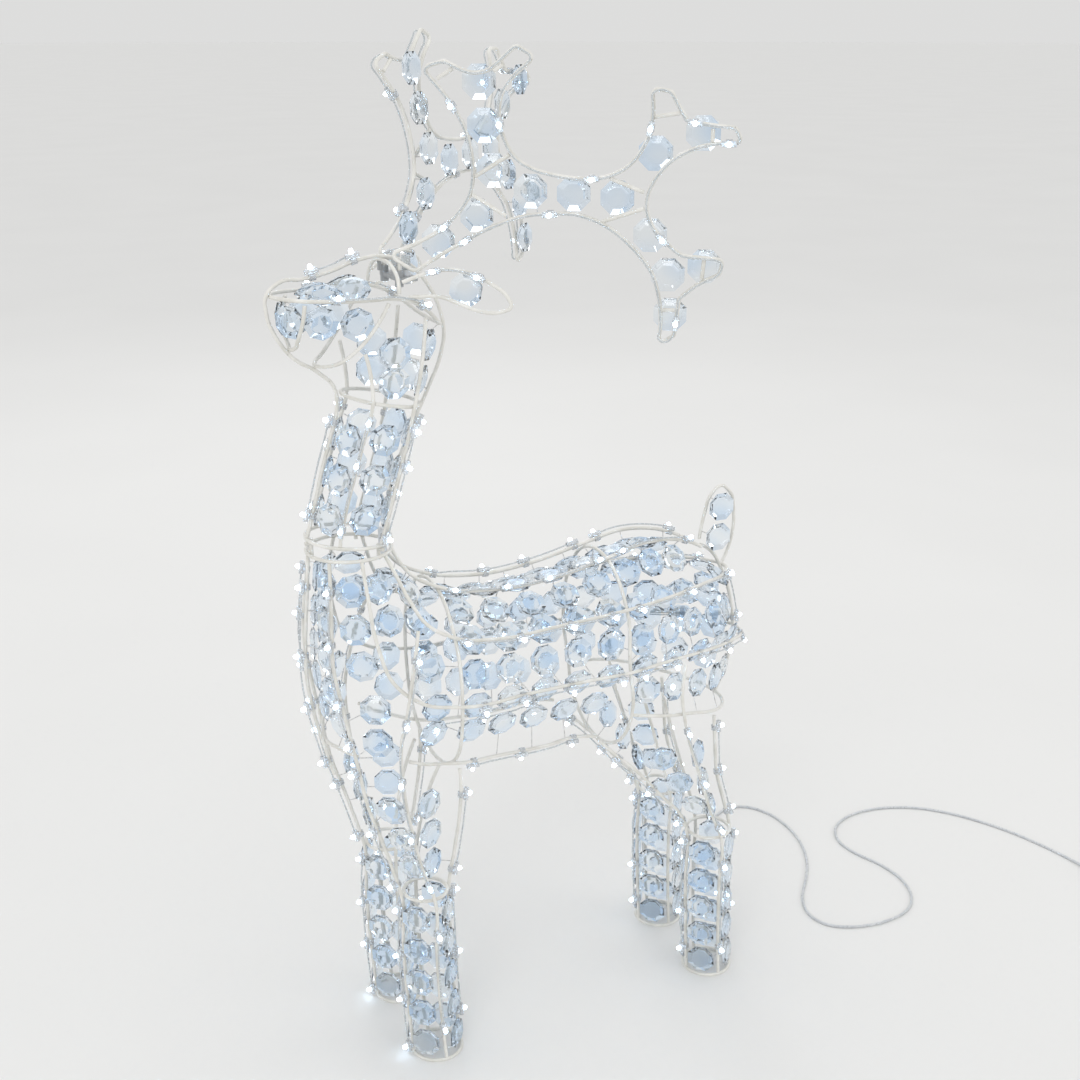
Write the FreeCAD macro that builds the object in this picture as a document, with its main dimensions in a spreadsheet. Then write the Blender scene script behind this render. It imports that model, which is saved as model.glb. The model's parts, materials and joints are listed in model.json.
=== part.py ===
import FreeCAD, Part
import math
import os

# Light up yard reindeer: a welded wire frame with faceted crystal discs, clipped lamps and a lead.
# The deer faces -X, its left flank is -Y and +Z is up. Lengths are millimetres.
# Points are given from the ground between the four feet. Every piece is then moved by centre_shift,
# so that the origin lies under the middle of the whole object.

V = FreeCAD.Vector
doc = FreeCAD.newDocument("yard_reindeer")

# Driving dimensions

SIZES = (
    ("wire_dia", 4.0, "frame wire, painted"),
    ("weld_gap", 0.2, "gap left at a weld"),
    ("centre_shift", 33.855, "feet middle to the middle of the whole object, along"),
    ("side_shift", 3.9, "feet middle to the middle of the whole object, across"),
    ("foot_spacing", 367.0, "front feet to rear feet"),
    ("foot_track", 120.0, "left feet to right feet"),
    ("foot_radius", 28.5, "foot ring"),
    ("foot_flat", 0.5, "flat under each foot ring"),
    ("front_knee_height", 212.0, "front knee ring above the floor"),
    ("front_knee_radius", 28.5, "front leg wires round the knee"),
    ("rear_knee_height", 195.0, "rear knee ring above the floor"),
    ("rear_knee_radius", 30.0, "rear leg wires round the knee"),
    ("flank_half", 87.0, "half width of the trunk"),
    ("back_half", 26.0, "half width of the flat of the back"),
    ("belly_half", 54.0, "half width of the belly"),
    ("front_rib_x", -153.0, "rib behind the front legs"),
    ("rear_rib_x", 52.0, "rib in front of the haunch"),
    ("seat_x", -244.0, "middle of the neck seat"),
    ("seat_height", 605.0, "seat ring above the floor"),
    ("neck_radius", 44.6, "seat ring and neck ring"),
    ("ring_rise", 13.0, "neck ring above the seat ring"),
    ("ring_tilt", 4.0, "neck ring tilts up at the front"),
    ("throat_x", -203.0, "middle of the throat ring"),
    ("throat_height", 762.0, "throat ring above the floor"),
    ("throat_radius", 45.0, "neck wires round the throat"),
    ("throat_tilt", 11.0, "throat ring tilts up at the front"),
    ("post_count", 3, "posts that the neck ring drops over"),
    ("post_clearance", 0.3, "post to ring"),
    ("post_shelf", 7.0, "length of a post's shelf"),
    ("disc_dia", 35.0, "crystal disc"),
    ("disc_thick", 8.0, "crystal disc"),
    ("disc_table", 21.0, "flat of a crystal disc"),
    ("disc_girdle", 1.4, "rim of a crystal disc"),
    ("disc_sides", 8, "facets round a crystal disc"),
    ("disc_inset", 9.6, "disc middle behind the wires"),
    ("tie_dia", 1.0, "wire that ties a disc"),
    ("tie_gap", 0.25, "end of a tie to what it holds"),
    ("lamp_dia", 4.6, "lamp dome"),
    ("lamp_height", 5.0, "lamp dome"),
    ("sleeve_dia", 5.6, "lamp sleeve"),
    ("sleeve_length", 14.0, "lamp sleeve"),
    ("sleeve_offset", 5.9, "sleeve beside its wire"),
    ("clip_wall", 1.4, "ring of a lamp clip"),
    ("clip_length", 6.0, "ring of a lamp clip"),
    ("clip_clearance", 0.2, "clip round its wire"),
    ("clip_mouth", 2.4, "slot that snaps over the wire"),
    ("cable_dia", 1.8, "string cable"),
    ("antler_x", -184.0, "foot of the antlers"),
    ("antler_half", 22.8, "foot of an antler from the middle"),
    ("antler_height", 905.0, "foot of the antlers above the floor"),
    ("antler_sweep", 34.5, "antlers spread from the middle plane"),
    ("antler_lean", 3.0, "antlers lean outwards"),
    ("right_turn", 7.0, "the right antler is turned back in its socket"),
    ("corner_radius", 5.0, "tight bends of the antler wire"),
    ("peg_length", 22.0, "antler peg below its frame"),
    ("peg_clearance", 0.25, "peg in its socket"),
    ("socket_wall", 2.0, "antler socket"),
    ("socket_length", 16.0, "antler socket"),
    ("socket_thick", 4.0, "bridge between the antler sockets"),
    ("plug_dia", 9.0, "string connector"),
    ("plug_length", 14.0, "string connector"),
    ("pin_dia", 1.6, "pin of a connector"),
    ("pin_length", 6.0, "pin of a connector"),
    ("pin_pitch", 4.0, "pins of a connector"),
    ("pin_clearance", 0.3, "pin in its bore"),
    ("lead_dia", 3.5, "low voltage lead"),
    ("lead_joint_dia", 9.0, "joint from string to lead"),
    ("lead_joint_length", 30.0, "joint from string to lead"),
    ("coil_radius", 25.9, "outer turn of the coil"),
    ("coil_pitch", 4.6, "coil turn to turn"),
    ("coil_rise", 4.2, "coil layer to layer"),
    ("coil_turns", 2.1875, "turns in a layer"),
    ("coil_layers", 4, "layers of the coil"),
    ("coil_lift", 1.0, "coil above the floor, on its tie"),
    ("adapter_length", 82.0, "adapter case"),
    ("adapter_width", 52.0, "adapter case"),
    ("adapter_height", 38.0, "adapter case"),
    ("adapter_wall", 2.5, "adapter case"),
    ("adapter_gap", 0.2, "case halves"),
    ("adapter_edge", 4.0, "rounded upright edges of the case"),
    ("prong_dia", 4.0, "adapter pins"),
    ("prong_length", 19.0, "adapter pins outside the case"),
    ("prong_pitch", 19.0, "adapter pins"),
    ("board_thick", 1.6, "adapter board"),
    ("board_margin", 3.0, "board to the inner wall"),
    ("gland_dia", 7.0, "strain relief at the adapter"),
    ("gland_length", 16.0, "strain relief at the adapter"),
)

sheet = doc.addObject("Spreadsheet::Sheet", "Sizes")
for row, (alias, value, note) in enumerate(SIZES, start=1):
    sheet.set("A%d" % row, alias)
    sheet.set("B%d" % row, str(value))
    sheet.set("C%d" % row, note)
    sheet.setAlias("B%d" % row, alias)
doc.recompute()


def size(alias):
    return float(getattr(sheet, alias))


WIRE = size("wire_dia")
RADIUS = WIRE / 2
GAP = size("weld_gap")
UNDER = WIRE + GAP
SHIFT = V(size("centre_shift"), size("side_shift"), 0)


# Paths: arcs that pass through every point, and straight runs with rounded bends

def unit(vector):
    return vector * (1 / vector.Length)


def arc_edge(start, apex, end):
    chord = (start + end) * 0.5
    rise = (apex - chord).Length
    half = (start - chord).Length
    if rise < 1e-5 * half:
        return Part.LineSegment(start, end).toShape()
    sag = half * (math.hypot(half, rise) - half) / rise
    middle = chord + (apex - chord) * (sag / rise)
    return Part.Arc(start, middle, end).toShape()


def through_tangents(points, closed):
    count = len(points)
    tangents = [None] * count
    for i in range(0 if closed else 1, count if closed else count - 1):
        before = points[i] - points[i - 1]
        after = points[(i + 1) % count] - points[i]
        tangents[i] = unit(unit(before) * after.Length + unit(after) * before.Length)
    if not closed:
        for end, inner in ((0, 1), (count - 1, count - 2)):
            chord = unit(points[inner] - points[end])
            turned = tangents[inner] if count > 2 else chord
            tangents[end] = unit(chord * (2 * chord.dot(turned)) - turned)
    return tangents


def two_arcs(start, start_dir, end, end_dir):
    chord = end - start
    both = start_dir + end_dir
    along = chord.dot(both)
    bend = 1 - start_dir.dot(end_dir)
    if bend < 1e-9:
        reach = chord.dot(chord) / (2 * along)
    else:
        reach = (math.sqrt(along * along + 2 * bend * chord.dot(chord)) - along) / (2 * bend)
    first = start + start_dir * reach
    second = end - end_dir * reach
    joint = (first + second) * 0.5
    return [arc_edge(start, first, joint), arc_edge(joint, second, end)]


def curve(points, closed=False, tangents=None):
    tangents = tangents or through_tangents(points, closed)
    edges = []
    for i in range(len(points) if closed else len(points) - 1):
        j = (i + 1) % len(points)
        edges += two_arcs(points[i], tangents[i], points[j], tangents[j])
    return edges


def bent(points, closed=False, tight=None):
    """Straight runs with a round bend at each point: tight at sharp turns, wide at gentle ones."""
    count = len(points)
    corners = []
    for i in range(count):
        if not closed and i in (0, count - 1):
            corners.append((points[i], points[i], None))
            continue
        to_last = points[i - 1] - points[i]
        to_next = points[(i + 1) % count] - points[i]
        half_turn = (math.pi - to_last.getAngle(to_next)) / 2
        shorter = min(to_last.Length, to_next.Length)
        reach = 0.45 * shorter
        if tight and half_turn > math.radians(20):
            reach = min(reach, tight * math.tan(half_turn))
        corners.append((points[i] + unit(to_last) * reach, points[i] + unit(to_next) * reach, points[i]))
    edges = []
    for i in range(count if closed else count - 1):
        first, last = corners[i], corners[(i + 1) % count]
        if first[2] is not None:
            edges.append(arc_edge(first[0], first[2], first[1]))
        if (last[0] - first[1]).Length > 1e-6:
            edges.append(Part.LineSegment(first[1], last[0]).toShape())
    return edges


def tube(edges, dia):
    start = edges[0].valueAt(edges[0].FirstParameter)
    heading = edges[0].tangentAt(edges[0].FirstParameter)
    ring = Part.Wire([Part.Circle(start, heading, dia / 2).toShape()])
    solid = Part.Wire(edges).makePipeShell([ring], True, False)
    return solid.Solids[0] if solid.Solids else solid


def rod(start, end, dia):
    return Part.makeCylinder(dia / 2, (end - start).Length, start, end - start)


class Track:
    """A path that can be read by its length."""

    def __init__(self, edges):
        self.edges = edges
        self.ends = []
        total = 0.0
        for edge in edges:
            total += edge.Length
            self.ends.append(total)
        self.length = total

    def at(self, distance):
        distance = min(max(distance, 0.0), self.length - 1e-6)
        before = 0.0
        for edge, end in zip(self.edges, self.ends):
            if distance <= end:
                place = edge.getParameterByLength(distance - before)
                return edge.valueAt(place), unit(edge.tangentAt(place))
            before = end
        return None

    def near(self, target, axis):
        """The point of the path whose coordinate on one axis is nearest to the target."""
        steps = int(self.length / 2) + 2
        places = [self.length * i / steps for i in range(steps + 1)]
        return min(places, key=lambda s: abs(self.at(s)[0][axis] - target))

    def samples(self, step):
        steps = int(self.length / step) + 1
        return [self.at(self.length * i / steps)[0] for i in range(steps + 1)]


def mirrored(points):
    return [V(p.x, -p.y, p.z) for p in points]


def both_sides(points):
    """A route listed on the left, from its end to the middle, carried on round to the right."""
    return points + mirrored(points[:-1])[::-1]


def toward(point, target, distance):
    return point + unit(target - point) * distance


def core_point(point, core):
    best = None
    for a, b in zip(core, core[1:]):
        run = b - a
        share = min(max((point - a).dot(run) / run.dot(run), 0.0), 1.0)
        foot = a + run * share
        if best is None or (point - foot).Length < (point - best).Length:
            best = foot
    return best


def outward(point, heading, core):
    away = point - core_point(point, core)
    return unit(away - heading * away.dot(heading))


# Rings, which the wires start from

class Ring:
    def __init__(self, x, y, z, radius, tilt=0.0):
        self.middle = V(x, y, z)
        self.radius = radius
        self.tilt = math.radians(tilt)

    def at(self, angle, lift=0.0, grow=0.0):
        """Angle 0 is the rear, 90 the left and 180 the front."""
        turn = math.radians(angle)
        reach = self.radius + grow
        along = reach * math.cos(turn)
        rise = V(math.sin(self.tilt), 0, math.cos(self.tilt))
        flat = V(math.cos(self.tilt), 0, -math.sin(self.tilt))
        return self.middle + flat * along + V(0, -reach * math.sin(turn), 0) + rise * lift


seat_ring = Ring(size("seat_x"), 0, size("seat_height"), size("neck_radius"))
neck_ring = Ring(
    size("seat_x"), 0, size("seat_height") + size("ring_rise"), size("neck_radius"), size("ring_tilt")
)
throat_ring = Ring(
    size("throat_x"), 0, size("throat_height"), size("throat_radius"), size("throat_tilt")
)

# Routes of the trunk wires, on the left side

FLANK = size("flank_half")
BACK = size("back_half")
BELLY = size("belly_half")
FRONT_RIB = size("front_rib_x")
REAR_RIB = size("rear_rib_x")
FOOT_X = size("foot_spacing") / 2
FOOT_Y = size("foot_track") / 2
FOOT_R = size("foot_radius")
FRONT_KNEE_Z = size("front_knee_height")
FRONT_KNEE_R = size("front_knee_radius")
REAR_KNEE_Z = size("rear_knee_height")
REAR_KNEE_R = size("rear_knee_radius")
FOOT_TOP = WIRE + GAP
RING_TOP = RADIUS + GAP

back_points = [
    seat_ring.at(20, -RING_TOP), V(-183, -BACK + 3, 572), V(FRONT_RIB, -BACK, 554),
    V(-84, -BACK, 540), V(-14, -BACK - 2, 543), V(REAR_RIB, -BACK - 2, 556),
    V(100, -BACK, 565), V(146, -BACK + 6, 560), V(184, -12, 543),
]
upper_points = [
    seat_ring.at(52, -RING_TOP), V(-209, -45, 583), V(-198, -56, 555), V(-184, -64, 531),
    V(FRONT_RIB, -FLANK + 15, 512), V(-105, -FLANK + 12, 504), V(-30, -FLANK + 11, 506),
    V(REAR_RIB, -FLANK + 12, 509), V(104, -FLANK + 19, 511), V(160, -FLANK + 36, 512),
    V(208, -27, 511), V(224, 0, 510),
]
lower_points = [
    seat_ring.at(92, -RING_TOP), V(-246, -60, 570), V(-242, -FLANK + 14, 520),
    V(-228, -FLANK + 6, 478), V(-201, -FLANK + 1, 453), V(FRONT_RIB, -FLANK, 439),
    V(-66, -FLANK, 439), V(0, -FLANK, 439), V(REAR_RIB, -FLANK, 438), V(100, -FLANK + 3, 441),
    V(152, -FLANK + 17, 437), V(206, -48, 432), V(240, -20, 427), V(246, 0, 426),
]
belly_points = [
    V(-214, -FLANK + 7, 385), V(-192, -FLANK + 13, 374), V(-172, -FLANK + 22, 366),
    V(FRONT_RIB + 8, -BELLY - 5, 358), V(-97, -BELLY, 354), V(-42, -BELLY, 353),
    V(0, -BELLY, 355), V(24, -BELLY, 350),
]
chest_points = [
    seat_ring.at(180, -RING_TOP), V(-292, 0, 560), V(-296, 0, 514), V(-297, 0, 467),
    V(-292, 0, 428), V(-282, 0, 384), V(-272, 0, 346),
]


def leg_axis(front, height):
    """Middle of a left leg below its knee."""
    knee_z = FRONT_KNEE_Z if front else REAR_KNEE_Z
    knee_x = -FOOT_X - 9 if front else FOOT_X - 5
    foot_x = -FOOT_X if front else FOOT_X
    share = min(max((height - FOOT_TOP) / (knee_z - FOOT_TOP), 0), 1)
    bow = (-3 if front else -2) * math.sin(share * math.pi)
    return V(foot_x + (knee_x - foot_x) * share + bow, -FOOT_Y, height)


def leg_shank(front, angle):
    """Lower leg wire from the knee down to its foot ring. Angle 0 is the rear, 90 the outside."""
    knee_z = FRONT_KNEE_Z if front else REAR_KNEE_Z
    knee_r = FRONT_KNEE_R if front else REAR_KNEE_R
    points = []
    for share in (1.0, 0.68, 0.36, 0.0):
        height = FOOT_TOP + (knee_z - FOOT_TOP) * share
        radius = FOOT_R + (knee_r - FOOT_R) * share
        turn = math.radians(angle)
        points.append(leg_axis(front, height) + V(radius * math.cos(turn), -radius * math.sin(turn), 0))
    return points


front_leg_front = [
    seat_ring.at(136, -RING_TOP), V(-279, -40, 570), V(-282, -46, 528), V(-283, -50, 493),
    V(-279, -54, 462), V(-274, -57, 432), V(-266, -FOOT_Y, 388), V(-255, -FOOT_Y, 330),
    V(-242, -FOOT_Y, 288), V(-230, -FOOT_Y, 247),
] + leg_shank(True, 180)
front_leg_outer = [
    V(-196, -66 - UNDER, 528), V(-208, -79.6 - UNDER, 488), V(-218, -FLANK - 3, 447),
    V(-226, -FLANK - 2, 408), V(-225, -FLANK - 1, 362), V(-217, -FLANK - 1, 306),
    V(-206, -FLANK - 1, 255),
] + leg_shank(True, 90)
front_leg_rear = [
    V(FRONT_RIB + 5, -BELLY - 5, 352), V(-147, -FOOT_Y, 334), V(-149, -FOOT_Y, 300),
    V(-156, -FOOT_Y, 256),
] + leg_shank(True, 0)
front_leg_inner = [
    V(FRONT_RIB - 10, -36, 348), V(-178, -34, 312), V(-189, -32, 262),
] + leg_shank(True, 270)

rear_leg_front = [
    V(28.5, -BELLY - 1, 344), V(44, -BELLY - 4, 327), V(72, -FOOT_Y, 300), V(115, -FOOT_Y, 250),
    V(139, -FOOT_Y, 222),
] + leg_shank(False, 180)
rear_leg_outer = [
    V(124, -FLANK + 3, 432), V(117, -FLANK - 2.4, 400), V(124, -FLANK - 3, 353),
    V(145, -FLANK - 4, 285), V(163, -FLANK - 4, 232),
] + leg_shank(False, 90)
rear_leg_rear = [
    V(180, -61, 346), V(183, -FOOT_Y, 312), V(188, -FOOT_Y, 266), V(199, -FOOT_Y, 228),
] + leg_shank(False, 0)
rear_leg_inner = [
    V(128, -30, 366), V(142, -29, 320), V(163, -30, 250),
] + leg_shank(False, 270)

hip_points = [
    V(REAR_RIB + 7.6, -FLANK + 9, 380), V(94, -FLANK - 1, 376), V(136, -FLANK + 5, 368),
    V(168, -70, 358), V(196, -50, 350), V(214, -24, 346), V(219, 0, 345),
]
rump_points = [
    V(190, 0, 541), V(208, 0, 528), V(220.4, 0, 507.6), V(235, 0, 470), V(241.5, 0, 428),
    V(236, 0, 385), V(220.3, 0, 347),
]
tail_points = [
    V(189, 0, 548), V(194, 0, 575), V(205, 0, 603), V(216, 0, 610), V(228, 0, 602),
    V(236, 0, 572), V(233, 0, 540), V(222, 0, 514),
]


# A route keeps its own arcs. Hoops lie inside the routes that they carry.

routes = {}
ROUND_ROUTES = ("upper", "lower", "hip", "cheek", "muzzle", "brow", "side")


def route(name, edges):
    routes[name] = Track(edges)
    return edges


def left_half(name):
    """The left side of a route that goes round the animal, up to the middle."""
    if name not in ROUND_ROUTES:
        return routes[name]
    edges = routes[name].edges
    return Track(edges[:len(edges) // 2])


def hoop_through(names, plane_x, middle_z):
    """Points of a hoop that passes under the named routes where they cross a plane."""
    points = []
    for name in names:
        track = left_half(name)
        spot, heading = track.at(track.near(plane_x, 0))
        centre = V(spot.x, 0, middle_z)
        inward = (centre - spot) - heading * (centre - spot).dot(heading)
        points.append(spot + unit(inward) * UNDER * 1.04)
    return points


# Nodes

nodes = {}


def add_node(name, solids):
    piece = doc.addObject("Part::Feature", name)
    piece.Label = name
    piece.Shape = Part.makeCompound(solids)
    piece.Placement = FreeCAD.Placement(SHIFT, FreeCAD.Rotation())
    nodes[name] = piece


def add_ring(name, radius, dia, spot, tilt=0.0):
    """A ring whose sizes follow the sheet."""
    ring = doc.addObject("Part::Torus", name)
    ring.setExpression("Radius1", radius)
    ring.setExpression("Radius2", dia + " / 2")
    ring.Placement = FreeCAD.Placement(spot, FreeCAD.Rotation(V(0, 1, 0), tilt))
    return ring


def bind_spot(piece, x, y, z):
    """Ties a spot, given from between the feet, to the sheet. An x of None keeps the piece's own."""
    if x:
        piece.setExpression(".Placement.Base.x", x + " + Sizes.centre_shift")
    piece.setExpression(".Placement.Base.y", y + " + Sizes.side_shift")
    piece.setExpression(".Placement.Base.z", z)


def group_node(name, parts):
    group = doc.addObject("Part::Compound", name)
    group.Label = name
    group.Links = parts
    nodes[name] = group


# Trunk wires

route("spine", curve(back_points))
route("upper", curve(both_sides(upper_points)))
route("lower", curve(both_sides(lower_points)))
route("belly", curve(belly_points))
route("chest", curve(chest_points))
route("hip", curve(both_sides(hip_points)))
route("rump", curve(rump_points))
route("tail", curve(tail_points))
for leg, wires in (
    ("front", (front_leg_front, front_leg_outer, front_leg_rear, front_leg_inner)),
    ("rear", (rear_leg_front, rear_leg_outer, rear_leg_rear, rear_leg_inner)),
):
    for place, points in zip(("front", "outer", "rear", "inner"), wires):
        route("%s_leg_%s" % (leg, place), curve(points))


def pair(name):
    """The tube of a left route and its mirror image."""
    left = tube(routes[name].edges, WIRE)
    return [left, left.mirror(V(0, 0, 0), V(0, 1, 0))]


def single(name):
    return [tube(routes[name].edges, WIRE)]


front_rib_points = hoop_through(("spine", "upper", "lower", "belly"), FRONT_RIB, 455)
rear_rib_points = hoop_through(("spine", "upper", "lower"), REAR_RIB, 455)
rear_rib_points.append(V(REAR_RIB + 5, -FLANK + 6, 392))
rear_rib_points.append(V(REAR_RIB + 4, -BELLY - 12, 352))
front_rib_hoop = front_rib_points + mirrored(front_rib_points)[::-1]
rear_rib_hoop = rear_rib_points + mirrored(rear_rib_points)[::-1]
route("front_rib", curve(front_rib_hoop, closed=True))
route("rear_rib", curve(rear_rib_hoop, closed=True))


def cross_piece(start_name, height, lift, drop):
    """A bar across the chest, inside both front wires, with its middle inside the chest wire."""
    track = routes[start_name]
    spot = track.at(track.near(height, 2))[0]
    middle_track = routes["chest"]
    middle = middle_track.at(middle_track.near(height - drop, 2))[0]
    start = spot + V(UNDER * 0.75, UNDER * 0.75, 0)
    middle = middle + V(UNDER, 0, 0)
    between = V((start.x + middle.x) / 2 - lift, start.y / 2, (start.z + middle.z) / 2)
    points = [start, between, middle]
    points += [V(between.x, -between.y, between.z), V(start.x, -start.y, start.z)]
    return curve(points)


route("breast_bar", cross_piece("front_leg_front", 392, 2.0, 4))
add_node("spine_wires", pair("spine"))
add_node("upper_flank_wire", single("upper"))
add_node("lower_flank_wire", single("lower"))
add_node("belly_wires", pair("belly"))
add_node("chest_wire", single("chest"))
add_node("rump_wires", single("hip") + single("rump"))
add_node("tail_frame", single("tail"))
add_node("trunk_ribs", single("front_rib") + single("rear_rib") + single("breast_bar"))
for leg in ("front", "rear"):
    wires = []
    for place in ("front", "outer", "rear", "inner"):
        wires += pair("%s_leg_%s" % (leg, place))
    add_node(leg + "_leg_wires", wires)

seat = add_ring("neck_seat_ring", "Sizes.neck_radius", "Sizes.wire_dia", seat_ring.middle)
bind_spot(seat, "Sizes.seat_x", "0", "Sizes.seat_height")
seat.Label = "neck_seat_ring"
nodes["neck_seat_ring"] = seat

feet = []
knees = []
for side, sign in (("left", "-"), ("right", "")):
    for end, way in (("front", "-"), ("rear", "")):
        where = end + "_" + side
        foot = add_ring("foot_ring_" + where, "Sizes.foot_radius", "Sizes.wire_dia", V(0, 0, 0))
        spot_x = "%sSizes.foot_spacing / 2" % way
        spot_y = "%sSizes.foot_track / 2" % sign
        bind_spot(foot, spot_x, spot_y, "Sizes.wire_dia / 2 - Sizes.foot_flat")
        floor = doc.addObject("Part::Box", "floor_" + where)
        for side_name in ("Length", "Width"):
            floor.setExpression(side_name, "4 * Sizes.foot_radius")
        floor.setExpression("Height", "Sizes.wire_dia")
        bind_spot(
            floor, spot_x + " - 2 * Sizes.foot_radius", spot_y + " - 2 * Sizes.foot_radius",
            "-Sizes.wire_dia"
        )
        flat = doc.addObject("Part::Cut", "flat_foot_" + where)
        flat.Base = foot
        flat.Tool = floor
        feet.append(flat)
        height = FRONT_KNEE_Z if end == "front" else REAR_KNEE_Z
        centre = leg_axis(end == "front", height)
        knee = add_ring(
            "knee_ring_" + where, "Sizes.%s_knee_radius - Sizes.wire_dia - Sizes.weld_gap" % end,
            "Sizes.wire_dia", V(centre.x, centre.y if side == "left" else -centre.y, height) + SHIFT
        )
        bind_spot(knee, None, spot_y, "Sizes.%s_knee_height" % end)
        knees.append(knee)
group_node("foot_rings", feet)
group_node("knee_rings", knees)

# Posts on the seat ring: the neck ring drops over them and rests on their shelves

POST_GAP = size("post_clearance")
posts = []
for index in range(int(size("post_count"))):
    angle = 60 + index * 360 / size("post_count")
    top = neck_ring.at(angle)
    foot = seat_ring.at(angle, 0, -UNDER)
    shelf_z = top.z - RADIUS - POST_GAP - RADIUS
    stem = rod(V(foot.x, foot.y, foot.z - WIRE), V(foot.x, foot.y, top.z + RADIUS / 2), WIRE)
    away = unit(V(foot.x - seat_ring.middle.x, foot.y, 0))
    shelf_start = V(foot.x, foot.y, shelf_z)
    posts.append(stem.fuse(rod(shelf_start, shelf_start + away * size("post_shelf"), WIRE)))
add_node("neck_posts", posts)

# Head and neck wires

head_points = [
    neck_ring.at(180, RING_TOP), V(-278, 0, 659), V(-268, 0, 696), V(-258, 0, 727),
    V(-250, 0, 756), V(-252, 0, 778), V(-268, 0, 795), V(-292, 0, 811), V(-308, 0, 832),
    V(-317, 0, 856), V(-316, 0, 876), V(-303, 0, 887), V(-276, 0, 889), V(-248, 0, 895),
    V(-224, 0, 903), V(-197, 0, 906), V(-168, 0, 896), V(-147, 0, 873), V(-136, 0, 850),
    V(-131, 0, 825), V(-136, 0, 798), V(-149, 0, 769), V(-167, 0, 733), V(-184, 0, 696),
    V(-196, 0, 660), neck_ring.at(0, RING_TOP),
]
side_points = [
    V(-312.2, 0, 874), V(-306, -18, 874), V(-293, -29, 873), V(-272, -37, 872), V(-247, -42, 871),
    V(-225, -45, 871), V(-203, -46, 871), V(-182, -44, 866), V(-164, -37, 855), V(-148, -24, 841),
    V(-137.4, 0, 834),
]
cheek_points = [
    V(-207, -45.5, 866.5), V(-218, -43, 847), V(-238, -37, 822), V(-254, -27, 808),
    V(-266, -14, 803), V(-270.3, 0, 802.1),
]
muzzle_points = [
    V(-288, -31.5, 868.5), V(-291, -32, 852), V(-294, -24, 834), V(-293.6, -12, 824), V(-295.4, 0, 820.7),
]
brow_points = [
    V(-196, -45, 874.8), V(-195, -40, 888), V(-195, -26, 898), V(-195, 0, 901.6),
]
neck_side_points = [
    neck_ring.at(120, RING_TOP), V(-259, -39, 656), V(-248, -39, 692), V(-238, -39, 724),
    throat_ring.at(120), V(-226, -40, 790), V(-231, -39, 817),
]
neck_rear_points = [
    neck_ring.at(60, RING_TOP), V(-208, -38, 660), V(-197, -38, 696), V(-188, -38, 727),
    throat_ring.at(60), V(-172, -39, 800), V(-166, -38, 848),
]
ear_points = [
    V(-192.1, -44.2, 886), V(-172, -55, 895), V(-152, -68, 900), V(-131, -88, 895), V(-112, -110, 880),
    V(-107, -119, 866), V(-121, -104, 859), V(-134, -89, 861), V(-147, -76, 867), V(-160, -62, 873),
    V(-186, -45.6, 871.1),
]

route("profile", curve(head_points))
route("side", curve(side_points + mirrored(side_points[1:-1])[::-1], closed=True))
route("cheek", curve(both_sides(cheek_points)))
route("muzzle", curve(both_sides(muzzle_points)))
route("brow", curve(both_sides(brow_points)))
route("neck_side", curve(neck_side_points))
route("neck_rear", curve(neck_rear_points))
route("ear", bent(ear_points, False, size("corner_radius")))

add_node("head_profile_wire", single("profile"))
add_node("head_side_wire", single("side"))
add_node("cheek_wires", single("cheek") + single("muzzle"))
add_node("brow_wire", single("brow"))
add_node("neck_wires", pair("neck_side") + pair("neck_rear"))
add_node("ear_frames", pair("ear"))

collar = add_ring("neck_ring", "Sizes.neck_radius", "Sizes.wire_dia", V(0, 0, 0), size("ring_tilt"))
bind_spot(collar, "Sizes.seat_x", "0", "Sizes.seat_height + Sizes.ring_rise")
throat = add_ring(
    "throat_ring", "Sizes.throat_radius - Sizes.wire_dia - Sizes.weld_gap", "Sizes.wire_dia",
    V(0, 0, 0), size("throat_tilt")
)
bind_spot(throat, "Sizes.throat_x", "0", "Sizes.throat_height")
for ring in (collar, throat):
    ring.Label = ring.Name
    nodes[ring.Name] = ring

# Antlers: flat frames, drawn in their own plane from the foot of the stem

ANTLER_OUTLINE = (
    (13, -12), (44, 8), (87, 32), (124, 46), (172, 48), (197, 40), (217, 27), (235, 9), (248, -8),
    (255, -33), (257, -58), (254, -79), (270, -69), (274, -32), (292, -17), (312, -8), (315, 6),
    (293, 8), (275, 9), (263, 19), (248, 33), (240, 52), (242, 70), (251, 86), (266, 101), (286, 111),
    (306, 115), (329, 115), (322, 129), (300, 131), (277, 135), (269, 148), (262, 161), (244, 164),
    (246, 142), (242, 120), (232, 102), (220, 90), (202, 82), (176, 80), (148, 84), (128, 90),
    (112, 101), (103, 120), (99, 142), (103, 160), (115, 175), (135, 191), (117, 201), (101, 187),
    (90, 178), (74, 176), (61, 181), (49, 187), (27, 181), (48, 158), (64, 134), (71, 114), (74, 94),
    (74, 79), (71, 65), (64, 53), (52, 39), (37, 27), (11, 13), (-14, 4),
)
ANTLER_BRACES = (
    ((71, 65), (107, 43)), ((74, 80), (111, 103)), ((204, 82), (240, 68)), ((197, 40), (240, 54)),
    ((245, 138), (272, 142)), ((255, -44), (272, -44)), ((297, 9), (295, -15)), ((40, 170), (58, 181)),
    ((301, 114), (301, 130)),
)
sweep = math.radians(size("antler_sweep"))
lean = math.radians(size("antler_lean"))
ALONG = V(math.cos(sweep), -math.sin(sweep), 0)
ASIDE = V(-math.sin(sweep), -math.cos(sweep), 0)
UPWARD = V(0, 0, math.cos(lean)) + ASIDE * math.sin(lean)
FACE = ASIDE * math.cos(lean) - V(0, 0, math.sin(lean))
ANTLER_FOOT = V(size("antler_x"), -size("antler_half"), size("antler_height"))


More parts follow.
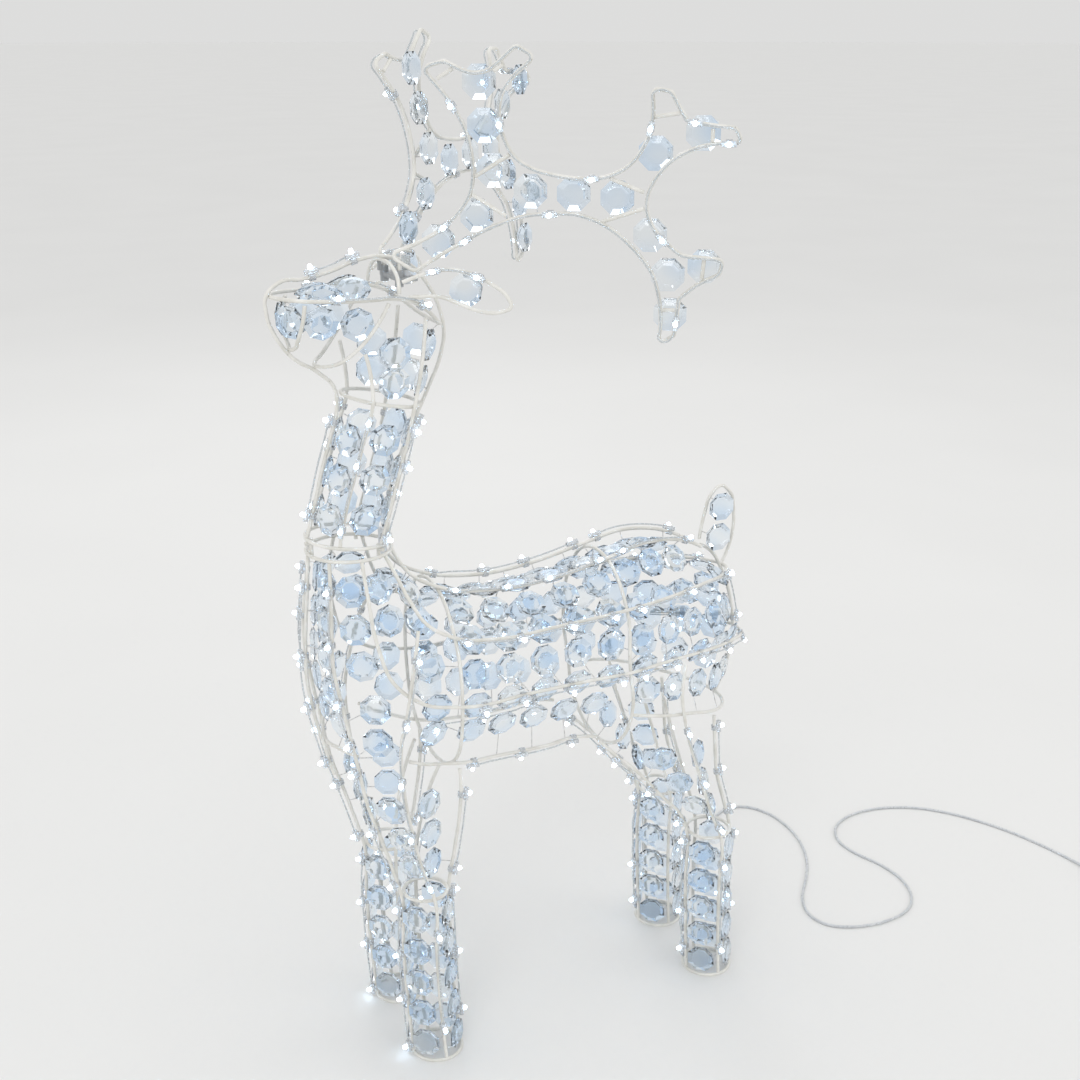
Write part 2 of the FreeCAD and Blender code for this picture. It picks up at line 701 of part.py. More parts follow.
def antler_point(spot, turn=0.0, depth=0.0):
    angle = math.radians(turn)
    along = spot[0] * math.cos(angle) - spot[1] * math.sin(angle)
    up = spot[0] * math.sin(angle) + spot[1] * math.cos(angle)
    return ANTLER_FOOT + ALONG * along + UPWARD * up + FACE * depth


def antler_route(turn):
    return bent([antler_point(spot, turn) for spot in ANTLER_OUTLINE], True, size("corner_radius"))


def antler_frame(turn):
    solids = [tube(antler_route(turn), WIRE)]
    for start, end in ANTLER_BRACES:
        first = antler_point(start, turn)
        last = antler_point(end, turn)
        solids.append(rod(toward(first, last, RADIUS), toward(last, first, RADIUS), WIRE))
    return solids


def flip(solids):
    return [solid.mirror(V(0, 0, 0), V(0, 1, 0)) for solid in solids]


RIGHT_TURN = size("right_turn")
PEG = size("peg_length")


def antler_peg(turn):
    top = antler_point((-3, -3), turn)
    return rod(V(top.x, top.y, top.z - PEG), V(top.x, top.y, top.z - RADIUS), WIRE)


left_peg = antler_peg(0)
right_peg = antler_peg(RIGHT_TURN)
add_node("antler_left_frame", antler_frame(0) + [left_peg])
add_node("antler_right_frame", flip(antler_frame(RIGHT_TURN) + [right_peg]))

# Bracket behind the brow wire: a socket for each antler peg and a hole for each connector

BRACKET_Z = antler_point((-3, -3)).z - PEG
SOCKET_BORE = RADIUS + size("peg_clearance")
SOCKET_R = SOCKET_BORE + size("socket_wall")
PLUG_R = size("plug_dia") / 2
PLUG_LENGTH = size("plug_length")
ANTLER_PLUG_X = size("antler_x") + 8
ANTLER_PLUG_Y = 14.0
ANTLER_PLUG_Z = size("antler_height") - 12
BROW_X = -195.0
BROW_REAR_X = BROW_X + RADIUS + size("post_clearance")
ARM = 5.0
TAB_TOP = 901.0


def peg_axis(turn, side):
    top = antler_point((-3, -3), turn)
    return V(top.x, side * abs(top.y), top.z - PEG)


def make_bracket():
    plate_low = BRACKET_Z + 3
    plate = Part.makeBox(
        20, 2 * ANTLER_PLUG_Y + 26, size("socket_thick"), V(-189, -ANTLER_PLUG_Y - 13, plate_low)
    )
    bores = []
    for side, turn in ((-1, 0), (1, RIGHT_TURN)):
        axis = peg_axis(turn, side)
        base = V(axis.x, axis.y, axis.z - size("socket_wall") - 0.3)
        plate = plate.fuse(Part.makeCylinder(SOCKET_R, size("socket_length"), base))
        arm_low = base.z + size("socket_length") - ARM
        arm_spot = V(BROW_REAR_X, axis.y - ARM / 2, arm_low)
        plate = plate.fuse(Part.makeBox(axis.x - BROW_REAR_X, ARM, ARM, arm_spot))
        plate = plate.fuse(Part.makeBox(3, ARM, TAB_TOP - arm_low, arm_spot))
        bores.append(Part.makeCylinder(SOCKET_BORE, PEG, V(axis.x, axis.y, axis.z - 0.3)))
        hole = V(ANTLER_PLUG_X, side * ANTLER_PLUG_Y, plate_low - 5)
        bores.append(Part.makeCylinder(PLUG_R + size("tie_gap"), 20, hole))
    for bore in bores:
        plate = plate.cut(bore)
    return plate


add_node("antler_bracket", [make_bracket()])

# String connectors: two pins of the upper half slide out of the lower half

PIN_R = size("pin_dia") / 2
PIN_LENGTH = size("pin_length")


def connector(spot):
    """Lower half and upper half with its pins; spot is the middle of the face where they meet."""
    lower = Part.makeCylinder(PLUG_R, PLUG_LENGTH, spot - V(0, 0, PLUG_LENGTH))
    upper = Part.makeCylinder(PLUG_R, PLUG_LENGTH, spot)
    pins = []
    for side in (-1, 1):
        foot = spot + V(0, side * size("pin_pitch") / 2, -PIN_LENGTH)
        bore = Part.makeCylinder(
            PIN_R + size("pin_clearance"), PIN_LENGTH + size("pin_clearance"),
            foot - V(0, 0, size("pin_clearance"))
        )
        lower = lower.cut(bore)
        pins.append(Part.makeCylinder(PIN_R, PIN_LENGTH, foot))
    return lower, upper.fuse(pins[0]).fuse(pins[1])


NECK_PLUG = V(
    size("seat_x") + size("neck_radius") - RADIUS - size("post_clearance") - PLUG_R, 0,
    size("seat_height") + 3
)
neck_lower, neck_upper = connector(NECK_PLUG)
add_node("neck_socket", [neck_lower])
add_node("neck_plug", [neck_upper])
antler_lowers = []
antler_uppers = []
for side in (-1, 1):
    lower, upper = connector(V(ANTLER_PLUG_X, side * ANTLER_PLUG_Y, ANTLER_PLUG_Z))
    antler_lowers.append(lower)
    antler_uppers.append(upper)
add_node("antler_sockets", antler_lowers)

# Crystal discs, hung behind the wires in rows and columns

CLIP_BORE = RADIUS + size("clip_clearance")
CLIP_R = CLIP_BORE + size("clip_wall")
DISC_R = size("disc_dia") / 2
DISC_HALF = size("disc_thick") / 2
SIDES = int(size("disc_sides"))
APOTHEM = DISC_R * math.cos(math.pi / SIDES)
INSET = size("disc_inset")
TIE_GAP = size("tie_gap")

TRUNK_CORE = (
    V(-240, 0, 620), V(-228, 0, 520), V(-195, 0, 452), V(-100, 0, 455), V(60, 0, 460), V(165, 0, 455)
)
FRONT_LEG_CORE = (V(-218, -50, 470), V(-196, -FOOT_Y, 300), V(-193, -FOOT_Y, 212), V(-FOOT_X, -FOOT_Y, 0))
REAR_LEG_CORE = (V(120, -50, 420), V(140, -FOOT_Y, 290), V(178, -FOOT_Y, 195), V(FOOT_X, -FOOT_Y, 0))
NECK_CORE = (seat_ring.middle, V(-226, 0, 690), throat_ring.middle, V(-200, 0, 800))
HEAD_CORE = (V(-200, 0, 780), V(-200, 0, 850), V(-280, 0, 848))


def disc_solid():
    levels = (
        (-DISC_HALF, size("disc_table") / 2), (-size("disc_girdle") / 2, DISC_R),
        (size("disc_girdle") / 2, DISC_R), (DISC_HALF, size("disc_table") / 2),
    )
    rims = []
    for height, radius in levels:
        turns = [(k + 0.5) * 2 * math.pi / SIDES for k in range(SIDES)]
        rims.append([V(radius * math.cos(a), radius * math.sin(a), height) for a in turns])
    faces = [Part.Face(Part.makePolygon(rim + rim[:1])) for rim in (rims[0], rims[-1])]
    for low, high in zip(rims, rims[1:]):
        for k in range(SIDES):
            j = (k + 1) % SIDES
            faces.append(Part.Face(Part.makePolygon([low[k], low[j], high[j], high[k], low[k]])))
    return Part.Solid(Part.Shell(faces))


DISC = disc_solid()
if DISC.Volume < 0:
    DISC.reverse()


def placement(origin, x_axis, y_axis, z_axis):
    return FreeCAD.Placement(FreeCAD.Matrix(
        x_axis.x, y_axis.x, z_axis.x, origin.x,
        x_axis.y, y_axis.y, z_axis.y, origin.y,
        x_axis.z, y_axis.z, z_axis.z, origin.z,
        0, 0, 0, 1
    ))


def placed(solid, origin, x_axis, z_axis):
    copy = solid.copy()
    copy.Placement = placement(origin, x_axis, z_axis.cross(x_axis), z_axis)
    return copy


class Disc:
    def __init__(self, middle, along, normal):
        self.middle = middle
        self.normal = unit(normal)
        self.along = unit(along - self.normal * along.dot(self.normal))
        self.across = self.normal.cross(self.along)

    def solid(self):
        return placed(DISC, self.middle, self.along, self.normal)

    def rim(self, target):
        """The point of the rim that faces a target, a gap outside it."""
        way = target - self.middle
        way = unit(way - self.normal * way.dot(self.normal))
        angle = math.atan2(way.dot(self.across), way.dot(self.along))
        step = 2 * math.pi / SIDES
        off = (angle + step / 2) % step - step / 2
        return self.middle + way * (APOTHEM / math.cos(off) + TIE_GAP)

    def flipped(self):
        mirror = [V(v.x, -v.y, v.z) for v in (self.middle, self.along, self.normal)]
        return Disc(*mirror)


MIDDLE_CLEAR = 7.0


class Stretch:
    """Part of a route on the left side, from one coordinate to another or to the middle."""

    def __init__(self, name, axis, start, end=None):
        self.track = left_half(name)
        self.start = self.track.near(start, axis)
        self.end = self.track.length - MIDDLE_CLEAR if end is None else self.track.near(end, axis)

    def at(self, share):
        spot, heading = self.track.at(self.start + (self.end - self.start) * share)
        return spot, heading * (1 if self.end > self.start else -1)


def disc_row(first, last, count, share, core, on_wire=False, inset=INSET):
    """Discs between two stretches, or behind the wire of the first."""
    row = []
    for index in range(count):
        part = (index + 0.5) / count
        spot_a, way_a = first.at(part)
        spot_b, way_b = last.at(part)
        middle = spot_a + (spot_b - spot_a) * share
        along = unit(way_a * (1 - share) + way_b * share)
        away = outward(middle, along, core)
        normal = away
        if not on_wire:
            normal = unit(along.cross(spot_b - spot_a))
            normal = normal if normal.dot(away) > 0 else normal * -1
        row.append(Disc(middle - normal * inset, along, normal))
    return row


def flank_rows(start, end, counts, top_end, low_name, deeper=0.0):
    """The five rows down the skin, from the spine to below the lower flank wire."""
    spine = Stretch("spine", 0, start, top_end)
    upper_top = Stretch("upper", 0, start, top_end)
    upper = Stretch("upper", 0, start, end)
    lower = Stretch("lower", 0, start, end)
    low = Stretch(low_name, 0, start, end)
    rows = disc_row(spine, upper_top, counts[0], 0.32, TRUNK_CORE)
    rows += disc_row(upper, lower, counts[1], -0.05, TRUNK_CORE, on_wire=True, inset=INSET + deeper)
    rows += disc_row(upper, lower, counts[2], 0.54, TRUNK_CORE)
    rows += disc_row(lower, low, counts[3], 0.09, TRUNK_CORE, on_wire=True, inset=INSET + deeper)
    rows += disc_row(lower, low, counts[4], 0.54, TRUNK_CORE)
    return rows


flank_discs = flank_rows(FRONT_RIB, REAR_RIB, (5, 5, 5, 5, 5), REAR_RIB, "belly")
flank_discs += flank_rows(REAR_RIB, None, (3, 5, 5, 5, 5), 160, "hip", 2.0)
flank_discs += flank_rows(-204, FRONT_RIB, (1, 1, 1, 1, 1), FRONT_RIB, "belly")
chest_discs = disc_row(
    Stretch("chest", 2, 595, 395), Stretch("front_leg_front", 2, 595, 395), 5, 0.5, TRUNK_CORE
)
chest_discs += disc_row(
    Stretch("front_leg_front", 2, 595, 478), Stretch("lower", 2, 592, 472), 3, 0.5, TRUNK_CORE
)
chest_discs += disc_row(
    Stretch("front_leg_front", 2, 474, 396), Stretch("front_leg_outer", 2, 455, 380), 2, 0.5,
    TRUNK_CORE
)
chest_discs += disc_row(
    Stretch("lower", 2, 590, 510), Stretch("upper", 2, 594, 540), 2, 0.5, TRUNK_CORE
)

back_discs = []
for start, end, count in (
    (-196, FRONT_RIB, 1), (FRONT_RIB, REAR_RIB, 5), (REAR_RIB, 130, 2),
):
    line = Stretch("spine", 0, start, end)
    for index in range(count):
        spot, way = line.at((index + 0.5) / count)
        along = unit(V(way.x, 0, way.z))
        normal = along.cross(V(0, 1, 0))
        normal = normal if normal.z > 0 else normal * -1
        back_discs.append(Disc(V(spot.x, 0, spot.z) - normal * INSET, along, normal))

LEG_DISC_R = 26.8
LEG_ROWS = 5
leg_discs = []
for front in (True, False):
    knee_z = FRONT_KNEE_Z if front else REAR_KNEE_Z
    room = knee_z - RADIUS - FOOT_TOP
    for index in range(LEG_ROWS):
        height = FOOT_TOP + room * (index + 0.5) / LEG_ROWS
        low = leg_axis(front, height - 4)
        high = leg_axis(front, height + 4)
        for corner in (45, 135, 225, 315):
            turn = math.radians(corner)
            away = V(math.cos(turn), -math.sin(turn), 0)
            leg_discs.append(Disc(leg_axis(front, height) + away * LEG_DISC_R, high - low, away))
for leg, core, tops in (
    ("front", FRONT_LEG_CORE, (230, 345)), ("rear", REAR_LEG_CORE, (214, 330)),
):
    outer = Stretch(leg + "_leg_outer", 2, *tops)
    for neighbour, share in (("front", 0.5), ("rear", 0.5)):
        beside = Stretch("%s_leg_%s" % (leg, neighbour), 2, tops[0], tops[1] - 12)
        leg_discs += disc_row(outer, beside, 3, share, core)

trunk_discs = flank_discs + chest_discs + leg_discs


def disc_solids(discs):
    return [disc.solid() for disc in discs] + [disc.flipped().solid() for disc in discs]


add_node("flank_discs", disc_solids(flank_discs))
add_node("chest_discs", disc_solids(chest_discs))
add_node("leg_discs", disc_solids(leg_discs))

# Discs of the tail, the neck, the head and the ears

TAIL_OFF = RADIUS + DISC_HALF + 0.6
tail_discs = [
    Disc(V(214, -TAIL_OFF, 586), V(0, 0, 1), V(0, -1, 0)),
    Disc(V(211, -TAIL_OFF, 549), V(0, 0, 1), V(0, -1, 0)),
]
add_node("back_discs", [disc.solid() for disc in back_discs + tail_discs])

NECK_INSET = 3.0
profile_edges = routes["profile"].edges
routes["neck_front"] = Track(profile_edges[:10])
routes["head_top"] = Track(profile_edges[24:30])
routes["nose"] = Track(profile_edges[12:20])
routes["neck_back"] = Track(profile_edges[36:])
NECK_ROWS = (625, 747)
neck_columns = (("neck_front", "neck_side"), ("neck_side", "neck_rear"), ("neck_rear", "neck_back"))
head_discs = []
for first, last in neck_columns:
    head_discs += disc_row(
        Stretch(first, 2, *NECK_ROWS), Stretch(last, 2, *NECK_ROWS), 3, 0.5, NECK_CORE,
        inset=NECK_INSET
    )
head_discs += disc_row(
    Stretch("neck_side", 2, 770, 814), Stretch("neck_rear", 2, 768, 844), 2, 0.5, NECK_CORE,
    inset=NECK_INSET + 3
)
head_discs += disc_row(
    Stretch("neck_rear", 2, 762, 842), Stretch("neck_back", 2, 758, 824), 2, 0.5, NECK_CORE,
    inset=NECK_INSET + 2
)
head_discs += disc_row(
    Stretch("head_top", 0, -284, -222), Stretch("side", 0, -284, -218), 2, 0.55, HEAD_CORE,
    inset=6.5
)
head_discs += disc_row(
    Stretch("muzzle", 2, 866, 834), Stretch("cheek", 2, 862, 828), 1, 0.27, HEAD_CORE, inset=6.5
)
head_discs += disc_row(
    Stretch("muzzle", 2, 866, 834), Stretch("cheek", 2, 862, 828), 1, 0.76, HEAD_CORE, inset=6.5
)
head_discs += disc_row(
    Stretch("nose", 2, 868, 832), Stretch("muzzle", 2, 866, 834), 1, 0.52, HEAD_CORE, inset=6.5
)
ear_along = V(81, -70, -16)
ear_face = unit(ear_along.cross(V(-5, 8, 33)))
ear_face = ear_face if ear_face.x < 0 else ear_face * -1
ear_discs = [Disc(V(-146, -84, 880) - ear_face * 13, ear_along, ear_face)]
add_node("head_discs", disc_solids(head_discs + ear_discs))

# Discs of the antlers, behind the plane of the frame

ANTLER_DISCS = (
    (36, 17), (75, 43), (128, 67), (170, 65), (212, 62), (248, 104), (292, 123), (244, 27),
    (262, -11), (265, -50), (297, -2), (92, 86), (84, 128), (80, 168),
)
ANTLER_DISC_DEPTH = -(CLIP_R + DISC_HALF + 0.3)


def antler_discs(turn):
    return [Disc(antler_point(spot, turn, ANTLER_DISC_DEPTH), UPWARD, FACE) for spot in ANTLER_DISCS]


left_antler_discs = antler_discs(0)
right_antler_discs = antler_discs(RIGHT_TURN)
add_node("antler_left_discs", [disc.solid() for disc in left_antler_discs])
add_node("antler_right_discs", [disc.flipped().solid() for disc in right_antler_discs])

# Ties: each disc is tied to the nearest wire, from its rim or from its face

TIE_DIA = size("tie_dia")
WIRE_STEP = 2.0
STEEPEST_TIE = 0.8


def ring_samples(middle, radius, tilt=0.0):
    ring = Ring(middle.x, middle.y, middle.z, radius, tilt)
    return [ring.at(angle) for angle in range(0, 360, 4)]


def wire_samples(names):
    spots = []
    for name in names:
        spots += routes[name].samples(WIRE_STEP)
    return spots


def in_disc(point, disc, reach):
    offset = point - disc.middle
    height = offset.dot(disc.normal)
    if abs(height) > DISC_HALF + reach:
        return False
    return (offset - disc.normal * height).Length < DISC_R + reach


def blocked(start, end, disc, others):
    marks = [start + (end - start) * (k / 6) for k in range(7)]
    for other in others:
        if other is disc or (other.middle - disc.middle).Length > 4 * DISC_R:
            continue
        if any(in_disc(mark, other, TIE_DIA / 2 + TIE_GAP / 2) for mark in marks):
            return True
    return False


def wire_way(spots, index):
    """Which way the wire runs at one of its samples, or None where samples of two wires meet."""
    middle = spots[index]
    near = spots[max(index - 1, 0):index + 2]
    near = [spot for spot in near if (spot - middle).Length < 2 * WIRE_STEP]
    if len(near) < 2:
        return None
    return unit(near[-1] - near[0])


def tie(disc, spots, others):
    """A rod from the disc's rim or face to the nearest wire that no other disc hides."""
    choices = []
    for index, spot in enumerate(spots):
        offset = spot - disc.middle
        if offset.Length > 4 * DISC_R:
            continue
        height = offset.dot(disc.normal)
        flat = offset - disc.normal * height
        if flat.Length <= size("disc_table") / 2 - TIE_DIA:
            start = disc.middle + flat + disc.normal * math.copysign(DISC_HALF + TIE_GAP, height)
        elif flat.Length >= DISC_R:
            start = disc.rim(spot)
            lean_out = abs(unit(spot - start).dot(disc.normal))
            start = start + unit(flat) * (TIE_DIA / 2 * lean_out)
        else:
            continue
        span = spot - start
        way = wire_way(spots, index)
        if way is None:
            continue
        along = abs(unit(span).dot(way))
        if along > STEEPEST_TIE:
            continue
        reach = (RADIUS + TIE_GAP + TIE_DIA / 2 * along) / math.sqrt(1 - along ** 2)
        length = span.Length - reach
        if length > TIE_DIA / 2:
            choices.append((length, start, start + unit(span) * length, spot))
    choices.sort(key=lambda choice: choice[0])
    for length, start, end, spot in choices:
        if not blocked(start, end, disc, others):
            tie_lines.append((start, end))
            return rod(start, end, TIE_DIA)
    raise RuntimeError("no wire near a disc")


tie_lines = []
TRUNK_WIRES = (
    "spine", "upper", "lower", "belly", "chest", "hip", "rump", "front_rib", "rear_rib",
    "breast_bar",
)
TRUNK_LEG_WIRES = tuple(
    "%s_leg_%s" % (leg, place)
    for leg in ("front", "rear")
    for place in ("front", "outer", "rear", "inner")
)
trunk_spots = wire_samples(TRUNK_WIRES + TRUNK_LEG_WIRES)
tail_spots = wire_samples(("tail",))
head_spots = wire_samples(
    ("profile", "side", "cheek", "muzzle", "neck_side", "neck_rear")
)
trunk_near = trunk_discs + back_discs + [disc.flipped() for disc in trunk_discs if disc.middle.y > -40]
trunk_ties = [tie(disc, trunk_spots, trunk_near) for disc in trunk_discs]
trunk_ties += flip(trunk_ties)
trunk_ties += [tie(disc, trunk_spots, trunk_near) for disc in back_discs]
trunk_ties += [tie(disc, tail_spots, tail_discs) for disc in tail_discs]
add_node("trunk_disc_ties", trunk_ties)
head_near = head_discs + [disc.flipped() for disc in head_discs]
head_ties = [tie(disc, head_spots, head_near) for disc in head_discs]
head_ties += [tie(disc, wire_samples(("ear",)), ear_discs) for disc in ear_discs]
add_node("head_disc_ties", head_ties + flip(head_ties))


def antler_ties(discs, turn):
    spots = Track(antler_route(turn)).samples(WIRE_STEP)
    return [tie(disc, spots, discs) for disc in discs]


add_node("antler_left_disc_ties", antler_ties(left_antler_discs, 0))
add_node("antler_right_disc_ties", flip(antler_ties(right_antler_discs, RIGHT_TURN)))

# Lamps: a clip round the wire carries a sleeve, and the lamp stands out of the sleeve

SLEEVE_OFF = size("sleeve_offset")
SLEEVE_R = size("sleeve_dia") / 2
SLEEVE_LENGTH = size("sleeve_length")
CLIP_LENGTH = size("clip_length")
LAMP_R = size("lamp_dia") / 2
LAMP_SEAT = SLEEVE_OFF + SLEEVE_R - 0.8
CABLE = size("cable_dia")
SIDE_LEAN = math.radians(40)


def make_clip():
    """The wire runs along Z through the origin and the sleeve lies to +X."""
    half = CLIP_LENGTH / 2
    ring = Part.makeCylinder(CLIP_R, CLIP_LENGTH, V(0, 0, -half))
    sleeve = Part.makeCylinder(SLEEVE_R, SLEEVE_LENGTH, V(SLEEVE_OFF, 0, -SLEEVE_LENGTH / 2))
    body = ring.fuse(sleeve)
    bore = Part.makeCylinder(CLIP_BORE, CLIP_LENGTH * 3, V(0, 0, -CLIP_LENGTH * 1.5))
    mouth_width = size("clip_mouth")
    mouth = Part.makeBox(
        mouth_width, CLIP_R * 2, CLIP_LENGTH * 3,
        V(-mouth_width / 2, -CLIP_R * 2, -CLIP_LENGTH * 1.5)
    )
    seat = Part.makeCylinder(LAMP_R + TIE_GAP, SLEEVE_R, V(LAMP_SEAT, 0, 0), V(1, 0, 0))
    return body.cut(bore).cut(mouth).cut(seat).removeSplitter()


def make_lamp():
    straight = size("lamp_height") - LAMP_R
    start = LAMP_SEAT + TIE_GAP
    stem = Part.makeCylinder(LAMP_R, straight, V(start, 0, 0), V(1, 0, 0))
    dome = Part.makeSphere(LAMP_R, V(start + straight, 0, 0))
    return stem.fuse(dome).removeSplitter()


CLIP = make_clip()
LAMP = make_lamp()


class Run:
    """A stretch of string along a wire: lamps at chosen places and cable from sleeve to sleeve."""

    def __init__(self, track, places, away, lean=0.0, step=14.0):
        self.track = track
        self.places = places
        self.away = away
        self.lean = lean
        self.step = step

    def frame(self, place):
        spot, heading = self.track.at(place)
        normal = self.away(spot, heading)
        beside = heading.cross(normal)
        out = unit(normal * math.cos(self.lean) + beside * math.sin(self.lean))
        return spot, heading, out

    def solids(self, shape):
        copies = []
        for place in self.places:
            spot, heading, out = self.frame(place)
            copies.append(placed(shape, spot, out, heading))
        return copies

    def sleeve_end(self, place, way):
        """Middle of a sleeve's end face, a gap outside it, and the direction out of it."""
        spot, heading, out = self.frame(place)
        reach = SLEEVE_LENGTH / 2 + TIE_GAP
        return spot + out * SLEEVE_OFF + heading * (way * reach), heading * way

    def cables(self):
        tubes = []
        clear = SLEEVE_LENGTH / 2 + TIE_GAP
        ordered = sorted(self.places)
        for low, high in zip(ordered, ordered[1:]):
            room = high - low - 2 * clear
            steps = max(int(room / self.step), 1)
            first, first_way = self.sleeve_end(low, 1)
            last, last_way = self.sleeve_end(high, -1)
            points = [first]
            for index in range(1, steps):
                spot, heading, out = self.frame(low + clear + room * index / steps)
                points.append(spot + out * SLEEVE_OFF)
            points.append(last)
            tangents = through_tangents(points, False)
            tangents[0] = first_way
            tangents[-1] = last_way * -1
            tubes.append(tube(curve(points, False, tangents), CABLE))
        return tubes


def core_away(core):
    return lambda spot, heading: outward(spot, heading, core)


def plane_away(direction):
    return lambda spot, heading: unit(direction - heading * direction.dot(heading))


class Field:
    """Points that lamp clips keep clear of, kept in cells so that the near ones are found fast."""

    CELL = 12.0

    def __init__(self):
        self.cells = {}
        self.discs = []

    def cell(self, point):
        return tuple(int(math.floor(value / self.CELL)) for value in (point.x, point.y, point.z))

    def add(self, points, radius, owner):
        for point in points:
            self.cells.setdefault(self.cell(point), []).append((point, radius, owner))

    def clear(self, point, radius, owner):
        i, j, k = self.cell(point)
        for a in (i - 1, i, i + 1):
            for b in (j - 1, j, j + 1):
                for c in (k - 1, k, k + 1):
                    for other, reach, name in self.cells.get((a, b, c), ()):
                        if name != owner and (other - point).Length < radius + reach + TIE_GAP:
                            return False
        for disc in self.discs:
            if (disc.middle - point).Length < 2 * DISC_R and in_disc(point, disc, radius):
                return False
        return True


NUDGES = (0, 4, -4, 8, -8, 12, -12, 16, -16, 20, -20)


def settle(run, field, owner):
    """Moves each lamp along its wire to the nearest place that is clear."""
    settled = []
    for place in run.places:
        for nudge in NUDGES:
            trial = min(max(place + nudge, SLEEVE_LENGTH / 2), run.track.length - SLEEVE_LENGTH / 2)
            spot, heading, out = run.frame(trial)
            tests = [(spot + heading * step, CLIP_R) for step in (-CLIP_LENGTH / 2, 0, CLIP_LENGTH / 2)]
            for step in (-1, -0.5, 0, 0.5, 1):
                tests.append((spot + out * SLEEVE_OFF + heading * (step * SLEEVE_LENGTH / 2), SLEEVE_R))
            apart = all(abs(trial - other) > 2.2 * SLEEVE_LENGTH for other in settled)
            if apart and all(field.clear(point, radius, owner) for point, radius in tests):
                settled.append(trial)
                break
    run.places = settled
    return run


def wire_field(names, rings, discs):
    field = Field()
    for name in names:
        for points in (routes[name].samples(WIRE_STEP), mirrored(routes[name].samples(WIRE_STEP))):
            field.add(points, RADIUS, name)
    for points in rings:
        field.add(points, RADIUS, "ring")
    for start, end in tie_lines:
        steps = int((end - start).Length / 1.5) + 1
        field.add([start + (end - start) * (k / steps) for k in range(steps + 1)], TIE_DIA / 2, "tie")
    field.discs = discs
    return field


def even_run(name, axis, start, end, count, away, lean=0.0):
    track = left_half(name)
    first = track.near(start, axis)
    last = track.near(end, axis)
    places = [first + (last - first) * i / (count - 1) for i in range(count)]
    owner = "profile" if name in PROFILE_PARTS else name
    return settle(Run(track, places, away, lean), fields[name in HEAD_ROUTES], owner)


PROFILE_PARTS = ("neck_front", "neck_back", "head_top")
HEAD_ROUTES = (
    "profile", "side", "cheek", "muzzle", "brow", "neck_side", "neck_rear", "ear", "neck_front",
    "neck_back", "head_top",
)
trunk_rings = [ring_samples(seat_ring.middle, seat_ring.radius)]
for front, knee_z, knee_r in ((True, FRONT_KNEE_Z, FRONT_KNEE_R), (False, REAR_KNEE_Z, REAR_KNEE_R)):
    for spot, radius in ((leg_axis(front, knee_z), knee_r - UNDER), (leg_axis(front, RADIUS), FOOT_R)):
        trunk_rings.append(ring_samples(spot, radius))
head_rings = [
    ring_samples(neck_ring.middle, neck_ring.radius, size("ring_tilt")),
    ring_samples(throat_ring.middle, throat_ring.radius - UNDER, size("throat_tilt")),
]
fields = {
    False: wire_field(TRUNK_WIRES + TRUNK_LEG_WIRES + ("tail",), trunk_rings, trunk_near),
    True: wire_field(
        ("profile", "side", "cheek", "muzzle", "brow", "neck_side", "neck_rear", "ear"),
        head_rings, head_near + ear_discs
    ),
}


TRUNK_AWAY = core_away(TRUNK_CORE)
FRONT_AWAY = core_away(FRONT_LEG_CORE)
REAR_AWAY = core_away(REAR_LEG_CORE)
NECK_AWAY = core_away(NECK_CORE)
HEAD_AWAY = core_away(HEAD_CORE)

trunk_runs = [
    even_run("spine", 0, -140, 38, 4, TRUNK_AWAY, SIDE_LEAN),
    even_run("spine", 0, 66, 150, 2, TRUNK_AWAY, SIDE_LEAN),
    even_run("upper", 0, -140, 38, 4, TRUNK_AWAY, SIDE_LEAN),
    even_run("upper", 0, 66, 205, 3, TRUNK_AWAY, SIDE_LEAN),
    even_run("lower", 0, -138, 38, 4, TRUNK_AWAY, SIDE_LEAN),
    even_run("lower", 0, 66, 106, 2, TRUNK_AWAY, SIDE_LEAN),
    even_run("lower", 0, 140, 228, 3, TRUNK_AWAY, SIDE_LEAN),
    even_run("belly", 0, -130, -10, 3, TRUNK_AWAY, SIDE_LEAN),
    even_run("front_leg_front", 2, 575, 410, 4, TRUNK_AWAY),
    even_run("front_leg_front", 2, 375, 228, 3, FRONT_AWAY),
    even_run("front_leg_front", 2, 194, 20, 4, FRONT_AWAY),
    even_run("front_leg_outer", 2, 500, 235, 5, FRONT_AWAY),
    even_run("front_leg_outer", 2, 170, 60, 2, FRONT_AWAY),
    even_run("front_leg_rear", 2, 320, 230, 2, FRONT_AWAY),
    even_run("front_leg_rear", 2, 190, 40, 3, FRONT_AWAY),
    even_run("rear_leg_front", 2, 318, 216, 3, REAR_AWAY),
    even_run("rear_leg_front", 2, 175, 25, 3, REAR_AWAY),
    even_run("rear_leg_outer", 2, 350, 212, 3, REAR_AWAY),
    even_run("rear_leg_outer", 2, 160, 50, 2, REAR_AWAY),
    even_run("rear_leg_rear", 2, 330, 212, 3, REAR_AWAY),
    even_run("rear_leg_rear", 2, 176, 76, 2, REAR_AWAY),
]
middle_runs = [
    even_run("chest", 2, 570, 365, 4, TRUNK_AWAY),
    even_run("rump", 2, 495, 440, 2, TRUNK_AWAY),
]
head_runs = [
    even_run("neck_side", 2, 640, 740, 3, NECK_AWAY),
    even_run("neck_rear", 2, 640, 735, 3, NECK_AWAY),
    even_run("side", 0, -262, -182, 2, HEAD_AWAY),
    even_run("ear", 0, -165, -130, 2, plane_away(ear_face)),
]
head_middle_runs = [
    even_run("neck_front", 2, 645, 735, 2, NECK_AWAY),
    even_run("neck_back", 2, 735, 650, 2, NECK_AWAY),
    even_run("head_top", 0, -286, -226, 2, HEAD_AWAY),
]

